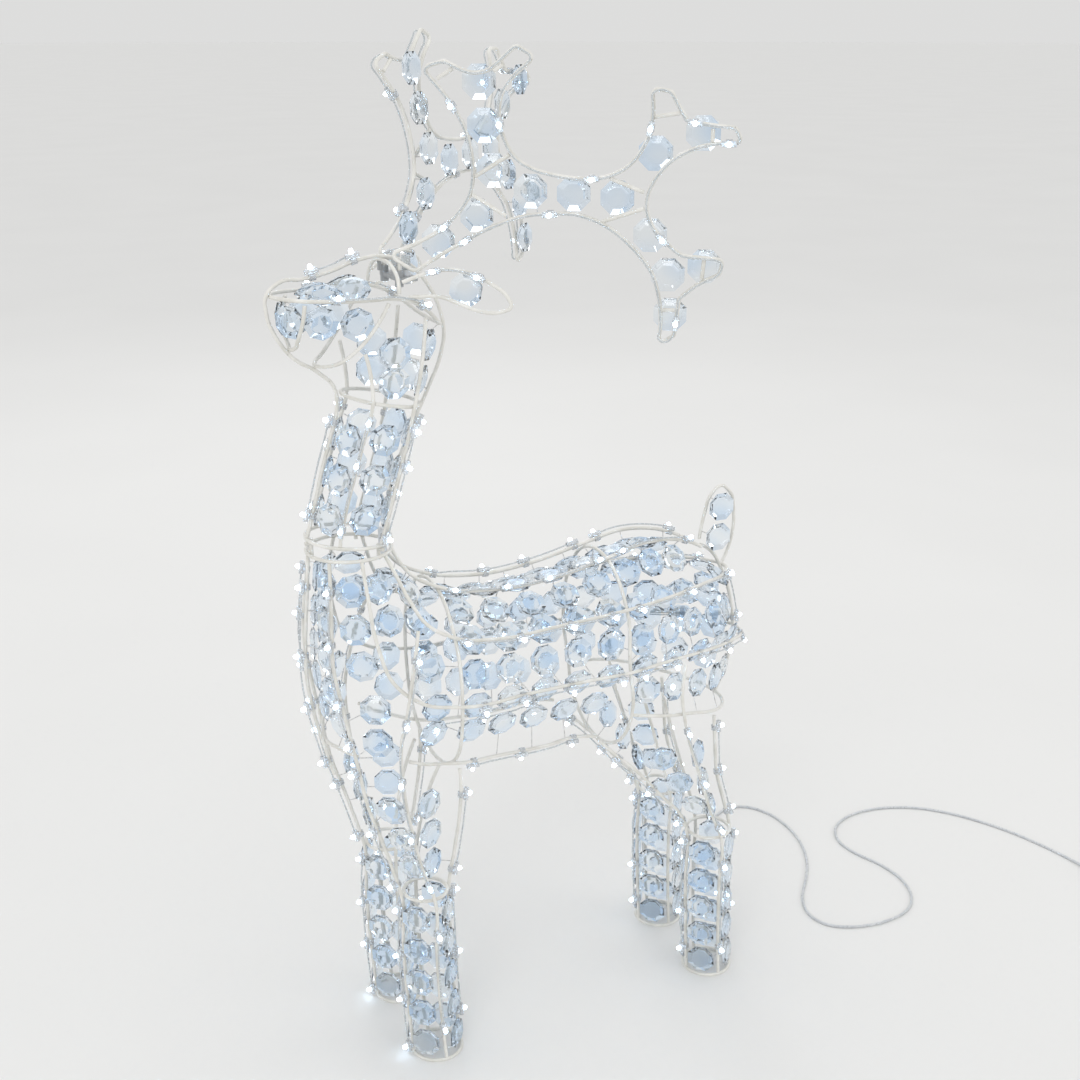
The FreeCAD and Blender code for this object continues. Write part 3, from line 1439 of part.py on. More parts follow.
ANTLER_LAMPS = (
    (66, 21), (148, 47), (272, -56), (256, 25), (317, 115), (288, 133), (244, 131), (189, 81),
    (101, 131), (56, 147), (44, 33),
)


def antler_run(turn):
    track = Track(antler_route(turn))
    steps = int(track.length / 2)
    marks = [track.length * i / steps for i in range(steps)]
    places = []
    for spot in ANTLER_LAMPS:
        target = antler_point(spot, turn)
        places.append(min(marks, key=lambda mark: (track.at(mark)[0] - target).Length))
    run = Run(track, sorted(places), plane_away(FACE), 0.0, 8.0)
    field = Field()
    for first, last in ANTLER_BRACES:
        foot = antler_point(first, turn)
        span = antler_point(last, turn) - foot
        field.add([foot + span * (k / 20) for k in range(21)], RADIUS, "brace")
    for first, last in tie_lines:
        field.add([first + (last - first) * (k / 6) for k in range(7)], TIE_DIA / 2, "tie")
    return settle(run, field, "outline")


def run_solids(runs, shape):
    solids = []
    for run in runs:
        solids += run.solids(shape)
    return solids


def run_cables(runs):
    tubes = []
    for run in runs:
        tubes += run.cables()
    return tubes


def add_lights(name, side_runs, single_runs, extra=()):
    for suffix, shape in (("lamp_clips", CLIP), ("lamps", LAMP)):
        left = run_solids(side_runs, shape)
        add_node("%s_%s" % (name, suffix), left + flip(left) + run_solids(single_runs, shape))
    left = run_cables(side_runs)
    add_node(name + "_light_string", left + flip(left) + run_cables(single_runs) + list(extra))


# Lead on the right rear leg: the string ends in a joint there, and the lead runs on from it

LEAD_DIA = size("lead_dia")
LEAD_Z = LEAD_DIA / 2 + 0.05
JOINT_R = size("lead_joint_dia") / 2
JOINT_LENGTH = size("lead_joint_length")
rear_track = routes["rear_leg_rear"]
JOINT_PLACE = rear_track.near(48, 2)
joint_spot, joint_way = rear_track.at(JOINT_PLACE)
joint_out = outward(joint_spot, joint_way, REAR_LEG_CORE)
joint_middle = joint_spot + joint_out * (RADIUS + JOINT_R + size("post_clearance"))
joint_middle = V(joint_middle.x, -joint_middle.y, joint_middle.z)
joint_way = V(joint_way.x, -joint_way.y, joint_way.z)
JOINT_TOP = joint_middle - joint_way * (JOINT_LENGTH / 2)
JOINT_LOW = joint_middle + joint_way * (JOINT_LENGTH / 2)
leg_run = trunk_runs[-1]
last_sleeve, last_way = leg_run.sleeve_end(max(leg_run.places), 1)
last_sleeve = V(last_sleeve.x, -last_sleeve.y, last_sleeve.z)
last_way = V(last_way.x, -last_way.y, last_way.z)
joint_cable = tube(
    two_arcs(last_sleeve, last_way, JOINT_TOP - joint_way * TIE_GAP, joint_way), CABLE
)

add_lights("trunk", trunk_runs, middle_runs, [joint_cable])
add_lights("head", head_runs, head_middle_runs)
for side, turn in (("left", 0), ("right", RIGHT_TURN)):
    run = antler_run(turn)
    string = run.cables() + [antler_uppers[0]]
    for suffix, solids in (
        ("lamp_clips", run.solids(CLIP)), ("lamps", run.solids(LAMP)), ("light_string", string),
    ):
        add_node(
            "antler_%s_%s" % (side, suffix), solids if side == "left" else flip(solids)
        )

add_node("lead_joint", [rod(JOINT_TOP, JOINT_LOW, 2 * JOINT_R)])

COIL_R = size("coil_radius")
COIL_TURNS = size("coil_turns")
COIL_LAYERS = int(size("coil_layers"))
COIL_PITCH = size("coil_pitch")
COIL_RISE = size("coil_rise")
COIL_MIDDLE = V(804, -140, LEAD_Z + size("coil_lift"))
QUARTER = math.pi / 2
ROUND = 2 * math.pi


def coil_state(turned):
    """Radius and height of the coil after an angle: it spirals in and out, and climbs in half a turn."""
    spiral_end = COIL_TURNS * ROUND
    layer = min(int(turned // (spiral_end + math.pi)), COIL_LAYERS - 1)
    within = turned - layer * (spiral_end + math.pi)
    drawn_in = COIL_PITCH * min(within, spiral_end) / ROUND
    if layer % 2:
        drawn_in = COIL_PITCH * COIL_TURNS - drawn_in
    climbed = max(within - spiral_end, 0.0)
    return COIL_R - drawn_in, COIL_RISE * (layer + (1 - math.cos(climbed)) / 2)


def coil_point(turned):
    radius, height = coil_state(turned)
    angle = math.pi + turned
    return COIL_MIDDLE + V(radius * math.cos(angle), radius * math.sin(angle), height)


COIL_END = (COIL_LAYERS * COIL_TURNS + (COIL_LAYERS - 1) / 2) * ROUND
coil_count = int(round(COIL_END / QUARTER))
coil_marks = [COIL_END * i / coil_count for i in range(coil_count + 1)]
coil_points = [coil_point(mark) for mark in coil_marks]
coil_ways = []
for mark in coil_marks:
    low = max(mark - 0.001, 0.0)
    high = min(mark + 0.001, COIL_END)
    coil_ways.append(unit(coil_point(high) - coil_point(low)))
coil_ways[0] = V(0, -1, 0)
coil_ways[-1] = V(1, 0, 0)
COIL_IN = coil_points[0] - coil_ways[0] * LEAD_DIA
COIL_OUT = coil_points[-1] + coil_ways[-1] * LEAD_DIA
coil_start = Part.LineSegment(COIL_IN, coil_points[0]).toShape()
coil_stop = Part.LineSegment(coil_points[-1], COIL_OUT).toShape()
coil_track = Track([coil_start] + curve(coil_points, False, coil_ways) + [coil_stop])
add_node("lead_coil", [tube(coil_track.edges, LEAD_DIA)])

# Adapter: two case halves, round pins, a board and the strain relief that the lead enters

CASE_X = 882.0
CASE_Y = round(COIL_OUT.y, 3)
GLAND_Z = 9.0
PRONG_Z = 14.0
LOWER_SHARE = "0.62"


def bound(kind, name, **sizes):
    piece = doc.addObject(kind, name)
    for key, text in sizes.items():
        piece.setExpression(key, text)
    return piece


def case_spot(piece, x_text="0", y_text="0", z_text="0"):
    bind_spot(piece, "%s + (%s)" % (CASE_X, x_text), "%s + (%s)" % (CASE_Y, y_text), z_text)


def case_block(name, grow, low, high):
    """A block of the case from one height to another, smaller than the case by grow all round."""
    block = bound(
        "Part::Box", name, Length="Sizes.adapter_length - 2 * (%s)" % grow,
        Width="Sizes.adapter_width - 2 * (%s)" % grow, Height="(%s) - (%s)" % (high, low)
    )
    case_spot(block, grow, "-Sizes.adapter_width / 2 + (%s)" % grow, low)
    return block


def rounded(block, name):
    doc.recompute()
    smooth = doc.addObject("Part::Fillet", name)
    smooth.Base = block
    edge_size = size("adapter_edge")
    uprights = []
    for number, edge in enumerate(block.Shape.Edges, start=1):
        way = edge.tangentAt(edge.FirstParameter)
        if abs(way.z) > 0.9:
            uprights.append((number, edge_size, edge_size))
    smooth.Edges = uprights
    return smooth


def bored(name, base, tools):
    union = doc.addObject("Part::MultiFuse", name + "_tools")
    union.Shapes = tools
    cut = doc.addObject("Part::Cut", name)
    cut.Base = base
    cut.Tool = union
    return cut


def along_case(name, radius, length, x_text, y_text, z_value):
    pin = bound("Part::Cylinder", name, Radius=radius, Height=length)
    pin.Placement = FreeCAD.Placement(V(0, 0, 0), FreeCAD.Rotation(V(0, 1, 0), 90))
    case_spot(pin, x_text, y_text, str(z_value))
    return pin


WALL_TEXT = "Sizes.adapter_wall"
SPLIT = "Sizes.adapter_height * " + LOWER_SHARE
lower_block = rounded(case_block("lower_block", "0", "0", SPLIT), "lower_rounded")
upper_block = rounded(
    case_block("upper_block", "0", SPLIT + " + Sizes.adapter_gap", "Sizes.adapter_height"),
    "upper_rounded"
)
lower_room = case_block("lower_room", WALL_TEXT, WALL_TEXT, SPLIT + " + 1")
upper_room = case_block("upper_room", WALL_TEXT, SPLIT + " - 1", "Sizes.adapter_height - " + WALL_TEXT)
gland_hole = along_case(
    "gland_hole", "Sizes.gland_dia / 2 + Sizes.adapter_gap", "2 * " + WALL_TEXT, "-" + WALL_TEXT,
    "0", GLAND_Z
)
prongs = []
prong_holes = []
for side_name, sign in (("left", "-"), ("right", "")):
    offset = sign + "Sizes.prong_pitch / 2"
    prongs.append(along_case(
        "prong_" + side_name, "Sizes.prong_dia / 2", "Sizes.prong_length + 3 * " + WALL_TEXT,
        "Sizes.adapter_length - 3 * " + WALL_TEXT, offset, PRONG_Z
    ))
    prong_holes.append(along_case(
        "prong_hole_" + side_name, "Sizes.prong_dia / 2 + Sizes.adapter_gap", "3 * " + WALL_TEXT,
        "Sizes.adapter_length - 2 * " + WALL_TEXT, offset, PRONG_Z
    ))
lower_case = bored("adapter_lower_case", lower_block, [lower_room, gland_hole] + prong_holes)
upper_case = doc.addObject("Part::Cut", "adapter_upper_case")
upper_case.Base = upper_block
upper_case.Tool = upper_room
board = bound(
    "Part::Box", "adapter_board",
    Length="Sizes.adapter_length - 2 * (%s + Sizes.board_margin)" % WALL_TEXT,
    Width="Sizes.adapter_width - 2 * (%s + Sizes.board_margin)" % WALL_TEXT,
    Height="Sizes.board_thick"
)
case_spot(
    board, WALL_TEXT + " + Sizes.board_margin",
    "-Sizes.adapter_width / 2 + %s + Sizes.board_margin" % WALL_TEXT,
    WALL_TEXT + " + Sizes.adapter_gap"
)
gland = along_case(
    "lead_strain_relief", "Sizes.gland_dia / 2", "Sizes.gland_length",
    "1.5 * %s - Sizes.gland_length" % WALL_TEXT, "0", GLAND_Z
)
for piece in (lower_case, upper_case, board, gland):
    piece.Label = piece.Name
    nodes[piece.Name] = piece
group_node("adapter_prongs", prongs)

# Lead: from the joint down to the floor, round behind the deer, then past its right side to the coil

GLAND_FACE = V(CASE_X + 1.5 * size("adapter_wall") - size("gland_length"), CASE_Y, GLAND_Z)
FLOOR_ROUTE = (
    (268, 112), (300, 147), (334, 190), (374, 232), (414, 256), (448, 250), (468, 216), (471, 172),
    (462, 124), (440, 78), (410, 40), (379, 8), (360, -30), (368, -66), (404, -86), (446, -92),
    (489, -84), (519, -54), (531, -12), (526, 30), (512, 66), (510, 104), (530, 138), (566, 156),
    (607, 158), (648, 147), (685, 124), (714, 91), (737, 52), (755, 10), (767, -32), (775, -72),
)
lead_points = [
    JOINT_LOW, JOINT_LOW + joint_way * 9, V(JOINT_LOW.x + 2, JOINT_LOW.y + 4, 14),
    V(JOINT_LOW.x + 10, JOINT_LOW.y + 12, 4.5), V(JOINT_LOW.x + 24, JOINT_LOW.y + 23, LEAD_Z),
]
lead_points += [V(x, y, LEAD_Z) for x, y in FLOOR_ROUTE]
lead_points += [COIL_IN + V(0, 30, 0), COIL_IN]
lead_end_points = [
    COIL_OUT, COIL_OUT + V(12, 0, 0), COIL_OUT + V(30, 0.6, -2.6),
    V(GLAND_FACE.x - 16, GLAND_FACE.y, GLAND_Z), GLAND_FACE,
]


def print_bends(name, points):
    radii = []
    for before, point, after in zip(points, points[1:], points[2:]):
        turn = math.pi - (before - point).getAngle(after - point)
        shorter = min((before - point).Length, (after - point).Length)
        radii.append(0.45 * shorter / math.tan(turn / 2) if turn > 1e-6 else 0)
    print(name, "bend radii", [round(radius, 1) for radius in radii])


lead_tracks = []
for name, points in (("lead", lead_points), ("lead end", lead_end_points)):
    print_bends(name, points)
    lead_tracks.append(Track(bent(points)))
lead_solids = [tube(track.edges, LEAD_DIA) for track in lead_tracks]
add_node("lead_cord", lead_solids)

section = math.pi * LEAD_DIA ** 2 / 4
for name, track, solid in zip(("lead", "lead end"), lead_tracks, lead_solids):
    share = solid.Volume / section / track.length
    print(name, "length", round(track.length, 1), "volume share", round(share, 4))
coil_solid = nodes["lead_coil"].Shape
print("coil length", round(coil_track.length, 1), "volume share",
      round(coil_solid.Volume / section / coil_track.length, 4))
coil_samples = coil_track.samples(4.0)
nearest = min(
    (a - b).Length for i, a in enumerate(coil_samples) for b in coil_samples[i + 12:]
)
print("coil gap to itself", round(nearest - LEAD_DIA, 2))

CORD_NODES = (
    "lead_joint", "lead_cord", "lead_coil", "adapter_lower_case", "adapter_upper_case",
    "adapter_board", "adapter_prongs", "lead_strain_relief",
)

# Checks and files

doc.recompute()
for piece in doc.Objects:
    if "Invalid" in piece.State or "Error" in piece.State:
        raise RuntimeError("failed: %s %s" % (piece.Name, piece.State))
for name, piece in nodes.items():
    if piece.Shape.isNull() or not piece.Shape.isValid():
        raise RuntimeError("bad shape: " + name)
    if piece.Shape.Volume <= 0:
        raise RuntimeError("no volume: " + name)
os.makedirs("parts", exist_ok=True)
for name, piece in nodes.items():
    piece.Shape.exportStep("parts/%s.step" % name)
deer = [piece.Shape for name, piece in nodes.items() if name not in CORD_NODES]
box = Part.makeCompound(deer).BoundBox
print("nodes", len(nodes), "solids", sum(len(piece.Shape.Solids) for piece in nodes.values()))
print("box", [round(v, 2) for v in (box.XMin, box.XMax, box.YMin, box.YMax, box.ZMin, box.ZMax)])
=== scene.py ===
import json
import math

import bmesh
import bpy
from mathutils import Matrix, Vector

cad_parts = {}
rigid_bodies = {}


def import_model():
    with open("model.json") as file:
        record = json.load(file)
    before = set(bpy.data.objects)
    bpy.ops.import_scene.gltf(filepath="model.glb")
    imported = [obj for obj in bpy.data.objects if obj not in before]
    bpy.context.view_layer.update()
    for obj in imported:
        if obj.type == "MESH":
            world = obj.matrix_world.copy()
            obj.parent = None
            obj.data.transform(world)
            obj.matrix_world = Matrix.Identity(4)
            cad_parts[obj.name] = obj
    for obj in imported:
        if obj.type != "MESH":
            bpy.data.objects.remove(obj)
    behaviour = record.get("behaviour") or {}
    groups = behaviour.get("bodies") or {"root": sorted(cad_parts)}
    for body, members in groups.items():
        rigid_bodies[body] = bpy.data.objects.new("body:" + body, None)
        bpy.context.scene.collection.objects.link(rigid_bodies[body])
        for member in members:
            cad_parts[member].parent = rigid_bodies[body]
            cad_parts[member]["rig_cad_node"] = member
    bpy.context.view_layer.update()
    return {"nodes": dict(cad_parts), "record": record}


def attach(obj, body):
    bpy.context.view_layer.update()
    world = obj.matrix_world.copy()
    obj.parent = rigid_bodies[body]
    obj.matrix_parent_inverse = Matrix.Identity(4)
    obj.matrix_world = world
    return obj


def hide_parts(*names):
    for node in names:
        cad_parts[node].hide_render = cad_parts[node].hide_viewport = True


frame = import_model()
scene = bpy.context.scene
MM = 0.001


# Camera, as solved from the photo's feet and neck ring

IMAGE_SIDE = 1080
FOCAL_PIXELS = 1506.35
SENSOR = 36.0
CAMERA_PLACE = (-0.68755, -1.41800, 1.13601)
CAMERA_YAW = 26.239
CAMERA_PITCH = 19.363


def add_camera():
    """The photo's camera."""
    data = bpy.data.cameras.new("photo_camera")
    data.sensor_width = SENSOR
    data.lens = SENSOR * FOCAL_PIXELS / IMAGE_SIDE
    data.clip_start = 0.01
    camera = bpy.data.objects.new("photo_camera", data)
    camera.location = CAMERA_PLACE
    camera.rotation_euler = (math.radians(90 - CAMERA_PITCH), 0, -math.radians(CAMERA_YAW))
    scene.collection.objects.link(camera)
    scene.camera = camera


# Materials: one shader each, fed by procedural nodes in the object's own metres

LAMP_GLOW = 5.0
MIX_COLOUR_A, MIX_COLOUR_B, MIX_COLOUR_OUT = 6, 7, 2
TRACK_SCALE = 120


class Finish:
    """A material under construction."""

    def __init__(self, name, colour, roughness, **fixed):
        self.material = bpy.data.materials.new(name)
        self.material.use_nodes = True
        self.tree = self.material.node_tree
        self.shader = self.tree.nodes["Principled BSDF"]
        self.shader.inputs["Base Color"].default_value = (*colour, 1)
        self.shader.inputs["Roughness"].default_value = roughness
        for socket, value in fixed.items():
            self.shader.inputs[socket.replace("_", " ")].default_value = value
        self.place = self.node("ShaderNodeTexCoord").outputs["Object"]
        self.relief = None

    def node(self, kind, **settings):
        made = self.tree.nodes.new(kind)
        for name, value in settings.items():
            setattr(made, name, value)
        return made

    def noise(self, size, detail=3.0, distortion=0.0):
        """A noise whose features are about size metres across."""
        made = self.node("ShaderNodeTexNoise")
        made.inputs["Scale"].default_value = 1 / size
        made.inputs["Detail"].default_value = detail
        made.inputs["Distortion"].default_value = distortion
        self.tree.links.new(self.place, made.inputs["Vector"])
        return made.outputs["Fac"]

    def colours(self, source, stops):
        """A colour ramp over the source, given as (place, colour) stops."""
        ramp = self.node("ShaderNodeValToRGB")
        while len(ramp.color_ramp.elements) < len(stops):
            ramp.color_ramp.elements.new(0.5)
        for element, (spot, colour) in zip(ramp.color_ramp.elements, stops):
            element.position = spot
            element.color = (*colour, 1)
        self.tree.links.new(source, ramp.inputs["Fac"])
        return ramp.outputs["Color"]

    def between(self, source, low, high, start=0.3, end=0.7):
        """The source's values from start to end, mapped to low to high."""
        span = self.node("ShaderNodeMapRange")
        limits = {"From Min": start, "From Max": end, "To Min": low, "To Max": high}
        for socket, value in limits.items():
            span.inputs[socket].default_value = value
        self.tree.links.new(source, span.inputs["Value"])
        return span.outputs["Result"]

    def worn(self, base, mask, colour):
        """The base colour, changed to another where the mask is high."""
        mix = self.node("ShaderNodeMix", data_type="RGBA")
        self.tree.links.new(mask, mix.inputs["Factor"])
        self.tree.links.new(base, mix.inputs[MIX_COLOUR_A])
        mix.inputs[MIX_COLOUR_B].default_value = (*colour, 1)
        return mix.outputs[MIX_COLOUR_OUT]

    def feed(self, socket, source):
        """Drives one of the shader's inputs by the source."""
        self.tree.links.new(source, self.shader.inputs[socket])

    def bump(self, source, height, strength=1.0):
        """Relief of that height in metres, on top of any relief before it."""
        made = self.node("ShaderNodeBump")
        made.inputs["Distance"].default_value = height
        made.inputs["Strength"].default_value = strength
        self.tree.links.new(source, made.inputs["Height"])
        if self.relief:
            self.tree.links.new(self.relief, made.inputs["Normal"])
        self.relief = made.outputs["Normal"]
        self.feed("Normal", self.relief)


def painted_wire():
    """Satin white paint: an uneven coat, with grey steel in a few chipped spots."""
    finish = Finish(
        "painted_wire", (0.80, 0.79, 0.74), 0.38, Coat_Weight=0.25, Coat_Roughness=0.2
    )
    coat = finish.colours(
        finish.noise(0.018, 4), [(0.35, (0.70, 0.69, 0.64)), (0.65, (0.83, 0.82, 0.78))]
    )
    chips = finish.between(finish.noise(0.0032, 2, 0.6), 0, 1, 0.72, 0.76)
    finish.feed("Base Color", finish.worn(coat, chips, (0.36, 0.35, 0.33)))
    finish.feed("Roughness", finish.between(finish.noise(0.006), 0.30, 0.52))
    finish.bump(finish.noise(0.0012, 2), 0.00004)
    finish.bump(chips, -0.00006)
    return finish.material


def crystal():
    """Clear faceted acrylic with a cool tint, moulded slightly uneven, with fine scratches."""
    finish = Finish("crystal", (0.82, 0.91, 1.0), 0.03, Transmission_Weight=1.0, IOR=1.49)
    tint = finish.colours(
        finish.noise(0.045, 1), [(0.35, (0.72, 0.85, 1.0)), (0.65, (0.93, 0.97, 1.0))]
    )
    finish.feed("Base Color", tint)
    finish.feed("Roughness", finish.between(finish.noise(0.004, 4, 1.5), 0.015, 0.09))
    finish.bump(finish.noise(0.007, 1), 0.00012)
    return finish.material


def lit_lens():
    """Clear epoxy lens, lit cool white from inside and a little uneven in brightness."""
    finish = Finish("lit_lens", (0.80, 0.90, 1.0), 0.12, Transmission_Weight=0.35)
    glow = finish.colours(
        finish.noise(0.003, 1), [(0.3, (0.55, 0.78, 1.0)), (0.7, (0.90, 0.96, 1.0))]
    )
    finish.feed("Emission Color", glow)
    finish.shader.inputs["Emission Strength"].default_value = LAMP_GLOW
    finish.bump(finish.noise(0.0008, 1), 0.00002)
    return finish.material


def tie_steel():
    """Bright soft wire, drawn, with dull patches."""
    finish = Finish("tie_steel", (0.72, 0.72, 0.72), 0.28, Metallic=1.0)
    finish.feed("Base Color", finish.colours(
        finish.noise(0.004), [(0.35, (0.55, 0.55, 0.55)), (0.65, (0.78, 0.78, 0.77))]
    ))
    finish.feed("Roughness", finish.between(finish.noise(0.0015), 0.2, 0.42))
    finish.bump(finish.noise(0.0005, 2), 0.00001)
    return finish.material


def moulded(name, colour, shade, roughness, grain, clear=0.0):
    """Moulded plastic: slight flow marks in its colour and a fine grain."""
    finish = Finish(name, colour, roughness, Transmission_Weight=clear, IOR=1.47)
    finish.feed("Base Color", finish.colours(
        finish.noise(0.012, 3, 0.8), [(0.3, shade), (0.7, colour)]
    ))
    dullness = finish.between(finish.noise(0.003), roughness - 0.07, roughness + 0.1)
    finish.feed("Roughness", dullness)
    finish.bump(finish.noise(grain, 2), 0.00003)
    return finish.material


def jacket(name, colour, shade, roughness, clear):
    """Extruded cable jacket: cloudy lengthways patches and a faint waviness."""
    finish = Finish(name, colour, roughness, Transmission_Weight=clear, IOR=1.5)
    finish.feed("Base Color", finish.colours(
        finish.noise(0.008, 3), [(0.3, shade), (0.7, colour)]
    ))
    dullness = finish.between(finish.noise(0.002), roughness - 0.06, roughness + 0.12)
    finish.feed("Roughness", dullness)
    finish.bump(finish.noise(0.0022, 1), 0.00008)
    return finish.material


def circuit_board():
    """Green solder mask over tracks."""
    finish = Finish("circuit_board", (0.10, 0.28, 0.16), 0.35)
    tracks = finish.node("ShaderNodeTexBrick")
    tracks.inputs["Scale"].default_value = TRACK_SCALE
    tracks.inputs["Color1"].default_value = (0.08, 0.26, 0.14, 1)
    tracks.inputs["Color2"].default_value = (0.11, 0.31, 0.17, 1)
    tracks.inputs["Mortar"].default_value = (0.20, 0.42, 0.24, 1)
    finish.tree.links.new(finish.place, tracks.inputs["Vector"])
    finish.feed("Base Color", tracks.outputs["Color"])
    finish.bump(tracks.outputs["Fac"], -0.00004)
    return finish.material


def nickel():
    """Plated metal with rubbed patches."""
    finish = Finish("nickel", (0.80, 0.79, 0.76), 0.2, Metallic=1.0)
    finish.feed("Base Color", finish.colours(
        finish.noise(0.005), [(0.3, (0.66, 0.65, 0.62)), (0.7, (0.82, 0.81, 0.78))]
    ))
    finish.feed("Roughness", finish.between(finish.noise(0.001, 3, 2.0), 0.12, 0.34))
    return finish.material


FINISHES = {
    "white_wire": painted_wire(),
    "crystal_disc": crystal(),
    "tie_wire": tie_steel(),
    "clip_plastic": moulded("clip", (0.88, 0.90, 0.92), (0.78, 0.82, 0.86), 0.25, 0.0006, 0.45),
    "lamp_lens": lit_lens(),
    "string_cable": jacket("string_jacket", (0.85, 0.88, 0.90), (0.68, 0.73, 0.76), 0.2, 0.5),
    "bracket_plastic": moulded(
        "bracket", (0.55, 0.57, 0.58), (0.44, 0.46, 0.48), 0.4, 0.0007, 0.3
    ),
    "connector_plastic": moulded(
        "connector", (0.80, 0.82, 0.84), (0.70, 0.73, 0.76), 0.42, 0.0005
    ),
    "lead_cable": jacket("lead_jacket", (0.80, 0.82, 0.84), (0.66, 0.69, 0.72), 0.3, 0.25),
    "adapter_case": moulded("case", (0.86, 0.86, 0.84), (0.80, 0.80, 0.77), 0.5, 0.0004),
    "board": circuit_board(),
    "plug_pin": nickel(),
}


def finish_piece(piece, slot):
    """Gives a CAD node or a new piece the finish of a material slot."""
    if not piece.data.materials:
        piece.data.materials.append(None)
    for place in piece.material_slots:
        place.material = FINISHES[slot]


for subpart in frame["record"]["subparts"]:
    finish_piece(frame["nodes"][subpart["node"]], subpart["material_slot"])


# Lead: down from the joint on the rear leg, loosely over the floor, then past the view to its coil

LEAD_DIAMETER = 3.5 * MM
ON_FLOOR = 1.8 * MM
LEAD_ROUTE = [
    (0.25107, 0.0639, 0.033113), (0.251435, 0.0639, 0.02412), (0.25307, 0.0679, 0.014),
    (0.26107, 0.0759, 0.0045), (0.27507, 0.0869, ON_FLOOR), (0.301855, 0.1159, ON_FLOOR),
    (0.333855, 0.1509, ON_FLOOR), (0.367855, 0.1939, ON_FLOOR), (0.407855, 0.2359, ON_FLOOR),
    (0.447855, 0.2599, ON_FLOOR), (0.481855, 0.2539, ON_FLOOR), (0.501855, 0.2199, ON_FLOOR),
    (0.504855, 0.1759, ON_FLOOR), (0.495855, 0.1279, ON_FLOOR), (0.473855, 0.0819, ON_FLOOR),
    (0.443855, 0.0439, ON_FLOOR), (0.412855, 0.0119, ON_FLOOR), (0.393855, -0.0261, ON_FLOOR),
    (0.401855, -0.0621, ON_FLOOR), (0.437855, -0.0821, ON_FLOOR), (0.479855, -0.0881, ON_FLOOR),
    (0.522855, -0.0801, ON_FLOOR), (0.552855, -0.0501, ON_FLOOR), (0.564855, -0.0081, ON_FLOOR),
    (0.559855, 0.0339, ON_FLOOR), (0.545855, 0.0699, ON_FLOOR), (0.543855, 0.1079, ON_FLOOR),
    (0.563855, 0.1419, ON_FLOOR), (0.599855, 0.1599, ON_FLOOR), (0.640855, 0.1619, ON_FLOOR),
    (0.681855, 0.1509, ON_FLOOR), (0.718855, 0.1279, ON_FLOOR), (0.747855, 0.0949, ON_FLOOR),
    (0.770855, 0.0559, ON_FLOOR), (0.788855, 0.0139, ON_FLOOR), (0.800855, -0.0281, ON_FLOOR),
    (0.808855, -0.0681, ON_FLOOR), (0.811955, -0.1026, 0.0028), (0.811955, -0.1326, 0.0028),
]
LEAD_END = [
    (0.841355, -0.162, 0.0154), (0.853355, -0.162, 0.0154), (0.871355, -0.1614, 0.0128),
    (0.887605, -0.162, 0.009), (0.903605, -0.162, 0.009),
]
COIL_MIDDLE = Vector((0.837855, -0.1361, 0.0028))
COIL_RADIUS = 25.9 * MM
COIL_PITCH = 4.6 * MM
COIL_RISE = 4.2 * MM
COIL_TURNS = 2.1875
COIL_LAYERS = 4
POINTS_A_TURN = 16
BEVEL_STEPS = 4
CURVE_STEPS = 8
ROUND = 2 * math.pi


def coil_point(turned):
    """A point of the coil: it spirals in and out, and climbs a layer in half a turn."""
    spiral_end = COIL_TURNS * ROUND
    layer = min(int(turned // (spiral_end + math.pi)), COIL_LAYERS - 1)
    within = turned - layer * (spiral_end + math.pi)
    drawn_in = COIL_PITCH * min(within, spiral_end) / ROUND
    if layer % 2:
        drawn_in = COIL_PITCH * COIL_TURNS - drawn_in
    climbed = max(within - spiral_end, 0.0)
    height = COIL_RISE * (layer + (1 - math.cos(climbed)) / 2)
    radius = COIL_RADIUS - drawn_in
    angle = math.pi + turned
    return COIL_MIDDLE + Vector((radius * math.cos(angle), radius * math.sin(angle), height))


def add_lead():
    """The whole lead as one round curve: route, coil and run into the adapter."""
    coil_end = (COIL_LAYERS * COIL_TURNS + (COIL_LAYERS - 1) / 2) * ROUND
    count = round(coil_end / ROUND * POINTS_A_TURN)
    coil = [coil_point(coil_end * step / count) for step in range(count + 1)]
    points = [Vector(spot) for spot in LEAD_ROUTE] + coil + [Vector(spot) for spot in LEAD_END]
    curve = bpy.data.curves.new("lead", "CURVE")
    curve.dimensions = "3D"
    curve.bevel_depth = LEAD_DIAMETER / 2
    curve.bevel_resolution = BEVEL_STEPS
    curve.use_fill_caps = True
    curve.resolution_u = CURVE_STEPS
    spline = curve.splines.new("NURBS")
    spline.points.add(len(points) - 1)
    for place, spot in zip(spline.points, points):
        place.co = (*spot, 1)
    spline.order_u = 3
    spline.use_endpoint_u = True
    lead = bpy.data.objects.new("lead", curve)
    scene.collection.objects.link(lead)
    return lead


def new_piece(name, build, slot, body):
    """A mesh piece made by a bmesh function, in a slot's finish, on a body."""
    mesh = bpy.data.meshes.new(name)
    shape = bmesh.new()
    build(shape)
    bmesh.ops.recalc_face_normals(shape, faces=shape.faces)
    shape.to_mesh(mesh)
    shape.free()
    piece = bpy.data.objects.new(name, mesh)
    scene.collection.objects.link(piece)
    finish_piece(piece, slot)
    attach(piece, body)
    return piece


# Ties round the coil: a flat strap with a buckle and a short tail

